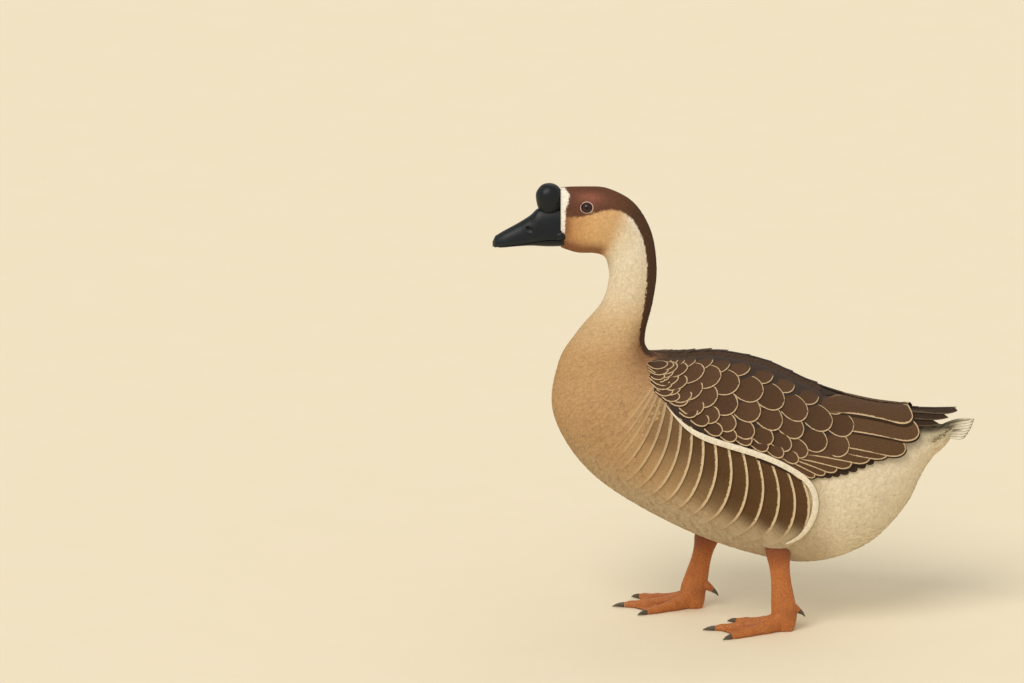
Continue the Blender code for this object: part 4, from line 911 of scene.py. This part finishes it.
def makeBill(material):
    steps, count = 110, 72
    u, a = np.linspace(0, 8, steps)[:, None], turns(count)
    x, top, edge, width = np.moveaxis(throughRows(upperBill, u + 0 * a), -1, 0)
    high, deep = np.maximum(np.cos(a), 0), np.minimum(np.cos(a), 0)
    z = edge + high * (top - edge) + deep * 0.001
    y = -width * np.sign(np.sin(a)) * np.abs(np.sin(a)) ** 0.85
    closing = fade(7.2, 8, u) * 0.5
    y, z = y * (1 - closing), z + (edge + 0.3 * (top - edge) - z) * closing * 0.6
    holeX, holeZ = bill["nostril"]
    along, up = (x - holeX) * 0.94 - (z - holeZ) * 0.34, (x - holeX) * 0.34 + (z - holeZ) * 0.94
    (holeLong, holeHigh), (rimLong, rimHigh) = bill["nostrilSize"], bill["nostrilRim"]
    hole = np.exp(-((along / holeLong) ** 2 + (up / holeHigh) ** 2) ** 2)
    rim = np.exp(-((np.hypot(along / rimLong, up / rimHigh) - 1) / 0.30) ** 2)
    groove = np.exp(-((z - edge - bill["grooveUp"]) / bill["grooveWidth"]) ** 2)
    groove = groove * fade(0.6, 1.4, u) * fade(7.3, 6.4, u)
    nail = fade(6.75, 7.0, u) * np.exp(-(np.abs(np.sin(a)) / 0.62) ** 4) * high
    ridge = np.exp(-(np.sin(a) / 0.20) ** 2) * high * fade(2.2, 3.4, u)
    inward = -hole * bill["nostrilDepth"] + rim * 0.0005 - groove * 0.0006
    y = y + np.sign(y) * inward * (np.abs(y) > 0.004)
    z = z + nail * 0.0007 + ridge * 0.0004
    # The layer: paler along the groove, on the nail and towards the tip, and held down in the nostril as painted
    # shade.
    wearShadeAndSheen = 0.30 * groove + 0.25 * nail + 0.18 * fade(3, 8, u) - 0.3 * hole
    makePiece("billUpper", np.stack((x, y, z), -1), sleeveFaces(steps, count), material,
              {"wearShadeAndSheen": wearShadeAndSheen.reshape(-1, 1)}, {"OFBake": unwrap(a, u / 8)}, ("bill_upper",))
    steps, count = 70, 48
    u, a = np.linspace(0, 5, steps)[:, None], turns(count)
    x, under, width = np.moveaxis(throughRows(lowerBill, u + 0 * a), -1, 0)
    edge = np.interp(-x, -upperBill[:, 0], upperBill[:, 2]) - 0.0018
    z = edge + np.minimum(np.cos(a), 0) * (edge - under)
    ribs = np.sin(x * 2 * pi / bill["lamella"]) * np.exp(-((z - edge + 0.0009) / 0.0007) ** 2)
    y = -width * np.sin(a) + np.sign(np.sin(-a)) * ribs * 0.00018
    # Painted highlight: a pale line just under the cutting edge, along the mouth.
    wearShadeAndSheen = 0.55 * np.exp(-((z - edge + 0.0008) / 0.0009) ** 2) * fade(0.8, 1.6, u)
    makePiece("billLower", np.stack((x, y, z), -1), sleeveFaces(steps, count), material,
              {"wearShadeAndSheen": wearShadeAndSheen.reshape(-1, 1)}, {"OFBake": unwrap(a, u / 5)}, ("bill_lower",))
    # Knob: an egg flat against the forehead, a little uneven, its lower half drawn down into the
    # bill. Behind each corner of the mouth the horn ends in a small lobe.
    ball, place = ballGrid(48, 64)
    ball = ball * (-1, 1, 1)
    waves = np.sin(ball * (5.1, 4.3, 4.7) + (1, 2, 0))
    bumps = 1 + 0.020 * waves.prod(-1)
    layers = {"wearShadeAndSheen": np.zeros((48 * 64, 1))}
    points = ball * bumps[..., None] * np.array(bill["knobRadii"])
    points[..., 2] *= np.where(ball[..., 2] < 0, bill["knobDrop"], 1.0)
    points += np.array(bill["knobCentre"])
    points[..., 0] = np.minimum(points[..., 0], bill["knobBack"])
    makePiece("knobHorn", points, sleeveFaces(48, 64), material, layers, {"OFBake": place}, ("knob",))
    for name, side in (("left", -1), ("right", 1)):
        points = (np.array(bill["cornerCentre"]) + ball * np.array(bill["cornerRadii"])) * (1, side, 1)
        makePiece(f"mouthCorner_{name}", points, sleeveFaces(48, 64), material, layers, {"OFBake": place})
    print("bill")


def eyeMaterial():
    # Wet and dark: a brown iris with fine spokes round a black pupil, by the distance from the axis.
    made, tree, shader = newMaterial("eye", 0.05, Specular_IOR_Level=0.35)
    ring = node(tree, "Attribute", attribute_name="ring").outputs["Fac"]
    spokes = noise(tree, 900.0, 2.0)
    iris = mixed(tree, spokes, (*tone(42, 19, 14), 1.0), (*tone(74, 36, 26), 1.0))
    inner = mixed(tree, ranged(tree, ring, 0.0030, 0.0038), (0.003, 0.002, 0.002, 1.0), iris)
    outer = mixed(tree, ranged(tree, ring, 0.0060, 0.0074), inner, (*tone(22, 12, 10), 1.0))
    tree.links.new(outer, shader.inputs["Base Color"])
    return made


def lidMaterial():
    # Brown inside and pale at its border, by the distance from the eye's axis.
    made, tree, shader = newMaterial("eyelid", 0.55)
    fleck = noise(tree, 800.0, 3.0)
    pale = mixed(tree, fleck, (*tone(206, 172, 152), 1), (*tone(228, 202, 184), 1))
    outside = ranged(tree, node(tree, "Attribute", attribute_name="ring").outputs["Fac"], 0.0093, 0.0098)
    tree.links.new(mixed(tree, outside, (*tone(84, 50, 38), 1), pale), shader.inputs["Base Color"])
    bumped(tree, shader, fleck, 0.4, 0.0004)
    return made


def makeEyes():
    # A ball about the eye's axis, and a soft ring of lids on it, a little longer fore and aft.
    paint, lidPaint = eyeMaterial(), lidMaterial()
    ball, ballPlace = ballGrid(40, 48)
    ballRing = np.where(ball[..., 0] > 0, eye["radius"] * np.hypot(ball[..., 1], ball[..., 2]), 0.02)
    steps, count = 72, 14
    around, small = turns(steps).T, turns(count)
    middle = eye["opening"] + eye["lid"]
    away = middle + eye["lid"] * np.cos(small) + 0 * around
    radius = away + 0.0003 * np.cos(2 * around)
    height = math.sqrt(eye["radius"] ** 2 - middle ** 2) + 0.0012 + 0.0013 * np.sin(small)
    lids = stacked(height, radius * np.cos(around), radius * 0.97 * np.sin(around))
    i, k = np.meshgrid(np.arange(steps), np.arange(count), indexing="ij")
    j, n = (i + 1) % steps, (k + 1) % count
    lidFaces = np.stack((i * count + k, i * count + n, j * count + n, j * count + k), -1).reshape(-1, 4)
    lidPlace = stacked(around / (2 * pi), small / (2 * pi))
    for name, side in (("left", -1), ("right", 1)):
        axis = Vector(eye["axis"]).normalized()
        axis = Vector((axis.x, axis.y * side, axis.z))
        across = axis.cross(Vector((0, 0, 1))).normalized()
        basis = np.array((axis, across, across.cross(axis)))
        centre = np.array(eye["centre"]) * (1, side, 1)
        makePiece(f"eyeball_{name}", centre + eye["radius"] * ball @ basis, sleeveFaces(40, 48), paint,
                  {"ring": ballRing.reshape(-1, 1)}, {"OFBake": ballPlace}, (f"eye_{name}",))
        makePiece(f"eyelids_{name}", centre + lids @ basis, lidFaces, lidPaint, {"ring": away.reshape(-1, 1)},
                  {"OFBake": lidPlace})
    print("eyes")


# Legs and feet: tubes along the bones and webs between the toes, melted into one skin.
toes = {2: (-31, 0.090, 0.017), 3: (0, 0.114, 0.020), 4: (31, 0.104, 0.016)}  # spread, length, claw


def tubeOf(name, centres, radii, material, count=24, floor=False, steps=None):
    # Closed tube of ellipses; a radius is (in the path's upright plane, across it).
    centres, radii = np.asarray(centres, float), np.asarray(radii, float)
    if steps:
        at = np.linspace(0, len(centres) - 1, steps)
        centres, radii = throughRows(centres, at), throughRows(radii, at)
    whole = centres[-1] - centres[0]
    across = np.array((0.0, 1.0, 0.0))
    if np.hypot(whole[0], whole[1]) > abs(whole[2]):
        across = np.array((-whole[1], whole[0], 0.0)) / np.hypot(whole[0], whole[1])
    tangent = unit(np.gradient(centres, axis=0))
    sideways = unit(across - tangent * (tangent @ across)[:, None])
    front = np.cross(sideways, tangent)
    a = turns(count)[..., None]
    points = centres[:, None] + front[:, None] * radii[:, :1, None] * np.cos(a)
    points = points + sideways[:, None] * radii[:, 1:, None] * np.sin(a)
    if floor:
        points[..., 2] = np.maximum(points[..., 2], 0.0)
    return makePiece(name, points, sleeveFaces(len(centres), count), material)


def legMaterial():
    # Orange skin with net-like scutes, darker on the hock and in the creases between them.
    made, tree, shader = newMaterial("leg skin", 0.48, Specular_IOR_Level=0.4)
    where = node(tree, "TexCoord").outputs["Object"]
    cells = node(tree, "TexVoronoi", {"Vector": where, "Scale": 300.0}, feature="DISTANCE_TO_EDGE").outputs["Distance"]
    crease = ranged(tree, cells, 0.0, 0.22)
    dark = node(tree, "Attribute", attribute_name="dark").outputs["Fac"]
    broad = noise(tree, 60.0, 3.0, where)
    skin = mixed(tree, broad, (*tone(186, 104, 44), 1.0), (*tone(208, 132, 66), 1.0))
    skin = mixed(tree, ranged(tree, crease, 0.0, 1.0, 0.5, 0.0), skin, (*tone(130, 66, 32), 1.0))
    skin = mixed(tree, maths(tree, "MULTIPLY", dark, 0.75), skin, (*tone(112, 50, 26), 1.0))
    tree.links.new(skin, shader.inputs["Base Color"])
    bumped(tree, shader, crease, 0.6, 0.0006)
    return made


def makeClaw(which, number, centre, radii, material, floor=False):
    claw = tubeOf(f"clawHorn_{which}_{number}", centre, np.stack(radii, -1), material, 16, floor)
    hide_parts(f"claw_{which}_{number}")


def makeLeg(which, material, clawPaint):
    # Shank, toes, webs and hind toe, joined and melted, darker at the hock and behind the ankle.
    leg = legs[which]
    side, y = leg["side"], leg["side"] * legOut
    hock, ankle = (np.array((leg[key][0], y, leg[key][1])) for key in ("hock", "ankle"))
    up = unit(hock - ankle)
    top = ankle + up * 0.036
    shares = np.array((-0.10, 0.12, 0.3, 0.5, 0.75, 1.0))[:, None]
    radii = [(0.0208, 0.0130), (0.0205, 0.0129), (0.0182, 0.0112), (0.0166, 0.0102), (0.0167, 0.0102),
             (0.0183, 0.0112), (0.0203, 0.0122), (0.0213, 0.0132), (0.0198, 0.0135), (0.0165, 0.0120)]
    middle = ankle + up * 0.017
    centres = np.vstack((hock + (top - hock) * shares, middle, ankle, ankle * (1, 1, 0.45), ankle * (1, 1, 0.02)))
    shells = [tubeOf("shank", centres, radii, material, 28, True, 60)]
    lines = []
    for number, (spread, length, clawLength) in toes.items():
        angle = math.radians(leg["turn"] + spread)
        way = np.array((-math.cos(angle), side * math.sin(angle), 0))
        s = np.linspace(0, 1, 44)
        path = ankle * (1, 1, 0) + way * (s * length)[:, None]
        places = (0.36, 0.66, 0.90) if number > 2 else (0.42, 0.80)
        joints = sum(np.exp(-((s - at) / 0.055) ** 2) for at in places) * 0.0010
        high = np.interp(s, (0, 0.15, 0.35, 0.6, 0.85, 1), (0.0185, 0.0150, 0.0103, 0.0078, 0.0058, 0.0046))
        wide = np.interp(s, (0, 0.15, 0.6, 0.85, 1), (0.0110, 0.0096, 0.0076, 0.0062, 0.0046))
        path[:, 2] = high * 0.96
        scutes = 0.00022 * np.sin(s * length / 0.0042 * 2 * pi)
        thickness = np.stack((high + joints + scutes, wide + joints), -1)
        shells.append(tubeOf("toe", path, thickness, material, 20, True))
        lines.append(path)
        t = np.linspace(0, 1, 16)[:, None]
        root = path[-1] + way * 0.0003
        centre = root + way * clawLength * t - np.array((0, 0, root[2] - 0.0013)) * t ** 2.6
        size = 0.0045 * np.interp(t[:, 0], (0, 0.12, 0.4, 0.7, 1), (0.98, 0.95, 0.80, 0.52, 0.14))
        makeClaw(which, number, centre, (size, size * 0.85), clawPaint, True)
    for pair in (lines[:2], lines[1:]):
        s, t = np.linspace(0.06, 1, 26)[:, None], np.linspace(0, 1, 22)[None, :]
        at = s * (0.97 - 0.07 * np.sin(pi * t))
        share = np.linspace(0, 1, 44)
        a, b = (np.stack([np.interp(at, share, line[:, k]) for k in range(3)], -1) for line in pair)
        sheet = a + (b - a) * t[..., None]
        folds = 0.0004 * np.sin(t * 9 * pi) * np.sin(pi * s)
        sheet[..., 2] = 0.0034 + 0.25 * (sheet[..., 2] - 0.0035) * np.abs(1 - 2 * t) + folds
        ring = np.concatenate((sheet + (0, 0, 0.0013), (sheet - (0, 0, 0.0013))[:, ::-1]), 1)
        shells.append(makePiece("web", ring, sleeveFaces(26, 44), material))
    way = np.array((math.cos(math.radians(36)), -side * 0.12, -math.sin(math.radians(36))))
    root = middle + up * 0.005
    path = root + way * np.array((-0.004, 0.016, 0.028, 0.034))[:, None]
    radii = [(0.0100, 0.0074), (0.0082, 0.0064), (0.0062, 0.0054), (0.0048, 0.0045)]
    shells.append(tubeOf("hallux", path, radii, material, 20, steps=20))
    s = np.linspace(0, 1, 14)
    centre = path[-1] + way * (0.0003 + 0.011 * s)[:, None] - np.array((0, 0, 0.003)) * (s ** 3)[:, None]
    size = 0.0043 * np.interp(s, (0, 0.15, 0.55, 1), (1.0, 0.93, 0.62, 0.18))
    makeClaw(which, 1, centre, (size, size), clawPaint)
    mesh = mergedMesh("legSkin", shells)
    piece = bpy.data.objects.new("soft", mesh)
    bpy.context.scene.collection.objects.link(piece)
    melt = piece.modifiers.new("melt", "REMESH")
    melt.mode, melt.voxel_size = "VOXEL", 0.0012
    smooth = piece.modifiers.new("smooth", "SMOOTH")
    smooth.factor, smooth.iterations = 0.5, 6
    mesh = bpy.data.meshes.new_from_object(piece.evaluated_get(bpy.context.evaluated_depsgraph_get()))
    bpy.data.objects.remove(piece)
    points = np.empty(len(mesh.vertices) * 3, np.float32)
    mesh.vertices.foreach_get("co", points)
    points = points.reshape(-1, 3)
    flat = points[:, 2] < 0.0012
    points[flat, 2] = np.maximum(points[flat, 2] - 0.0004, 0.0)
    mesh.vertices.foreach_set("co", points.ravel())
    heel = np.exp(-((points[:, 2] - ankle[2]) / 0.010) ** 2) * fade(-0.010, 0.006, points[:, 0] - ankle[0])
    dark = fade(0.045, -0.004, hock[2] - points[:, 2]) + 0.4 * heel
    layer = mesh.attributes.new("dark", "FLOAT", "POINT")
    layer.data.foreach_set("value", np.clip(dark, 0, 1).astype(np.float32))
    mesh.name = f"legSkin_{which}"
    mesh.shade_smooth()
    addObject(f"legSkin_{which}", mesh, material, (f"leg_{which}", f"foot_{which}"))
    print("leg", which, len(mesh.polygons))


def overThigh(which, points):
    # Moves points of the left side outwards, so that they clear that leg's thigh: by the soft
    # maximum of nothing and how far the thigh's oval at their height reaches past them.
    rows = thighRows(which)[::-1]
    ahead, aft, z, wide, out = rows[:, 2], rows[:, 0], rows[:, 1], rows[:, 4], np.abs(rows[:, 6])
    middle, long, wide, out = (
        np.interp(points[..., 2], z, v) for v in ((ahead + aft) / 2, (aft - ahead) / 2, wide, out))
    oval = np.sqrt(np.clip(1 - ((points[..., 0] - middle) / long) ** 2, 0, 1))
    past = out + wide * oval + 0.0015 + points[..., 1]
    past = (past + np.sqrt(past ** 2 + 0.006 ** 2)) / 2
    moved = points.copy()
    moved[..., 1] -= past * fade(0.0, 0.25, oval) * fade(0.245, 0.215, points[..., 2])
    return moved


def makeFlank(name, side, material):
    # Barred feathers in columns from the wing's edge down, each with a blunt pale tip, so that the
    # tips of one column make an arc. The arcs bulge aft at mid height, more so towards the rear.
    rows = []
    for tip in flank["tips"]:
        top, end = wingEdges(np.array(tip))[1] - 6, float(lowEnd(tip))
        round_ = np.linalg.norm(slopes(bodyRows, np.array(tip), np.array(1.7))[1])
        many = max(3, round(math.radians(end - top) * round_ / flank["step"]))
        degrees = top + (end - top) * (np.arange(many) + 0.5 + dice.uniform(-0.12, 0.12, many)) / many
        aft = (tip - 9.7) / 3.4
        bend = aft * np.where(degrees > 100, 0.00030, 0.00050)
        bulge = -bend * (degrees - 100) ** 2
        rows.append(stacked(tip + bulge, degrees, aft, (degrees - top) / (end - top), bend))
    tips, degrees, aft, down, bend = np.vstack(rows).T
    angle, many = np.radians(degrees), len(tips)
    length = flank["length"] * (0.75 + 0.35 * aft)
    width = flank["width"] * (0.86 + 0.22 * aft)
    # Each is square to its arc, by the arc's slope, and its root lies back from its tip along it.
    u, root = tips, angle
    for _ in range(3):
        scaleU, scaleA = scales(bodyRows, (u + tips) / 2, (angle + root) / 2)
        turn = np.arctan(2 * bend * (degrees - 100) * 180 / pi * scaleU / scaleA)
        u, root = tips - length * np.cos(turn) / scaleU, angle - length * np.sin(turn) / scaleA
    shape = vaneShape(flank["tip"], 14, 10, 0.7, flank["blunt"])
    high = 0.0004 + 0.0014 * aft - 0.0004 * down
    points = vanesOn(bodyRows, u, root, length, width, turn, high - 0.0045, high, shape, 0.0003, 0.01)
    points = overThigh(name, points) * (1, -side, 1)
    # Tones run on from vane to vane: the coat's own, then darker aft, and the coat's again below.
    scaleA = scales(bodyRows, tips, angle)[1][:, None, None]
    across = angle[:, None, None] + width[:, None, None] * shape["wide"][:, None] * shape["across"] / scaleA
    low = fade(-20, -3, np.degrees(across) - lowEnd(tips)[:, None, None])
    ground = plumageTone(tips[:, None, None] + 0 * across, across)
    dark = fade(-0.06, 0.46, aft[:, None, None] - 0.008 * np.clip(np.degrees(across) - 80, 0, 60)) * (1 - low)
    # Painted shade: each vane darker towards its root, which lies under the tips of the ones before it.
    rootShade = np.interp(shape["along"], (0, 0.5, 1), (0.86, 0.96, 1.03))[None, :, None, None]
    colour = blend(ground, tone(*flank["tone"]), dark) * dice.uniform(0.96, 1.04, (many, 1, 1, 1)) * rootShade
    sideways = np.abs(shape["wide"][:, None] * shape["across"])
    rims = (0.25 + 0.75 * fade(0.05, 0.5, aft))[:, None, None] * (1 - 0.9 * low) * fade(0.92, 0.72, sideways)
    reach = (1 - sideways ** flank["blunt"]).clip(0) ** (1 / flank["blunt"])
    edge = np.maximum(1 - flank["tip"] * (1 - reach) - shape["along"][:, None], 0) * length[:, None, None]
    layVanes(f"flankBars_{name}", points, withAlpha(colour, rims), edge, material, atlas(many, shape))

    # The pale line: narrow feathers one behind the other along the path, each turned to follow it.
    path = np.array(flank["path"]) * (1, pi / 180)
    fine = throughRows(path, np.linspace(0, len(path) - 1, 400))
    run = runOf(ringPoint(bodyRows, *fine.T))
    many = int((run[-1] - flank["lineLength"]) / flank["lineStep"])
    at = flank["lineStep"] * (np.arange(many) + dice.uniform(0.1, 0.9, many))
    (u, angle), (nextU, nextAngle) = (
        [np.interp(at + ahead, run, fine[:, k]) for k in (0, 1)] for ahead in (0, flank["lineLength"]))
    scaleU, scaleA = scales(bodyRows, u, angle)
    turn = np.arctan2((nextAngle - angle) * scaleA, (nextU - u) * scaleU)
    share = at / run[-1]
    size = fade(-0.05, 0.2, share) * (1 - 0.45 * fade(0.75, 1.0, share))
    shape = vaneShape(0.4, 10, 8, 0.6)
    high = 0.0040 + 0.0024 * fade(0.72, 0.6, share) + dice.uniform(0, 0.0004, many)
    points = vanesOn(bodyRows, u, angle, np.full(many, flank["lineLength"]), flank["lineWidth"] * size, turn,
                     high - 0.0030, high, shape, 0.0003, 0.06)
    points = overThigh(name, points) * (1, -side, 1)
    colour = tone(*flank["line"]) * dice.uniform(0.92, 1.03, (many, 1))
    tint = withAlpha(np.broadcast_to(colour[:, None, None], points.shape), 0.0)
    layVanes(f"flankLine_{name}", points, tint, np.ones(points.shape[:3]), material, atlas(many, shape))


def makeStage():
    # A pale floor that fills the view, a soft sun and a bright sky.
    made, tree, shader = newMaterial("pale floor", 0.9, Specular_IOR_Level=0.1)
    grain = ranged(tree, noise(tree, 9.0, 4.0), 0.3, 0.7, 0.0, 1.0)
    pale = mixed(tree, grain, (*tone(242, 230, 202), 1), (*tone(243, 231, 204), 1))
    tree.links.new(pale, shader.inputs["Base Color"])
    mesh = bpy.data.meshes.new("floor")
    mesh.from_pydata([(-9, -5, 0), (9, -5, 0), (9, 16, 0), (-9, 16, 0)], [], [(0, 1, 2, 3)])
    mesh.materials.append(made)
    floor = bpy.data.objects.new("floor", mesh)
    bpy.context.scene.collection.objects.link(floor)
    for name, way, strength, spread in (("key", (1.1, 1.9, -2.3), 1.50, 34), ("rim", (-0.8, -2.0, -1.6), 0.25, 60)):
        lamp = bpy.data.lights.new(name, "SUN")
        lamp.energy, lamp.angle, lamp.color = strength, math.radians(spread), (1.0, 0.965, 0.91)
        holder = bpy.data.objects.new(name, lamp)
        holder.location = (0, 0, 3)
        holder.rotation_mode = "QUATERNION"
        holder.rotation_quaternion = Vector(way).to_track_quat("-Z", "Y")
        bpy.context.scene.collection.objects.link(holder)
    world = bpy.data.worlds.new("sky")
    world.use_nodes = True
    world.node_tree.nodes["Background"].inputs[0].default_value = (1.0, 0.97, 0.92, 1)
    world.node_tree.nodes["Background"].inputs[1].default_value = 0.60
    bpy.context.scene.world = world
    bpy.context.scene.view_settings.view_transform = "Standard"


def makeCamera():
    # A very long lens 14 degrees above the bird, square to its left side, framed as the picture is.
    aim, away, rise = Vector((-0.3655, 0, 0.4745)), 20.0, math.radians(14)
    lens = bpy.data.cameras.new("camera")
    lens.sensor_width, lens.lens, lens.clip_end = 36, 21.3 * away, 60
    camera = bpy.data.objects.new("camera", lens)
    camera.location = aim + Vector((0, -math.cos(rise), math.sin(rise))) * away
    camera.rotation_mode = "QUATERNION"
    camera.rotation_quaternion = (aim - camera.location).to_track_quat("-Z", "Y")
    bpy.context.scene.collection.objects.link(camera)
    bpy.context.scene.camera = camera


makeStage()
makeCamera()
makeSkin()
print("skin")
plume = plumeMaterial("body plume", (236, 216, 180), 0.0011)
for coat in coats:
    makeCoat(coat, plume)
for which in legs:
    makeCoat({"name": f"coatThigh_{which}", "rows": thighRows(which), **thighCoat}, plume)
flankPlume = plumeMaterial("flank plume", flank["rim"], flank["rimWidth"], barb=0.08)
for name, side in (("left", -1), ("right", 1)):
    makeFlank(name, side, flankPlume)
wingPlume = plumeMaterial("wing plume", wing["rim"], wing["rimWidth"], 0.7, barb=0.10)
padPaint = newMaterial("wing pad", 0.9, Base_Color=(*tone(*wing["pad"]), 1.0))[0]
for name, side in (("left", -1), ("right", 1)):
    makeWing(name, side, wingPlume, padPaint)
makeTail(plumeMaterial("tail plume", tail["rim"], tail["rimWidth"], 0.75, barb=0.08))
makeBill(hornMaterial("bill horn", bill["tone"], bill["wornAndSheen"], 0.38))
makeEyes()
legSkin, clawHorn = legMaterial(), hornMaterial("claw horn", (86, 76, 62), (120, 106, 86), 0.4)
for which in legs:
    makeLeg(which, legSkin, clawHorn)
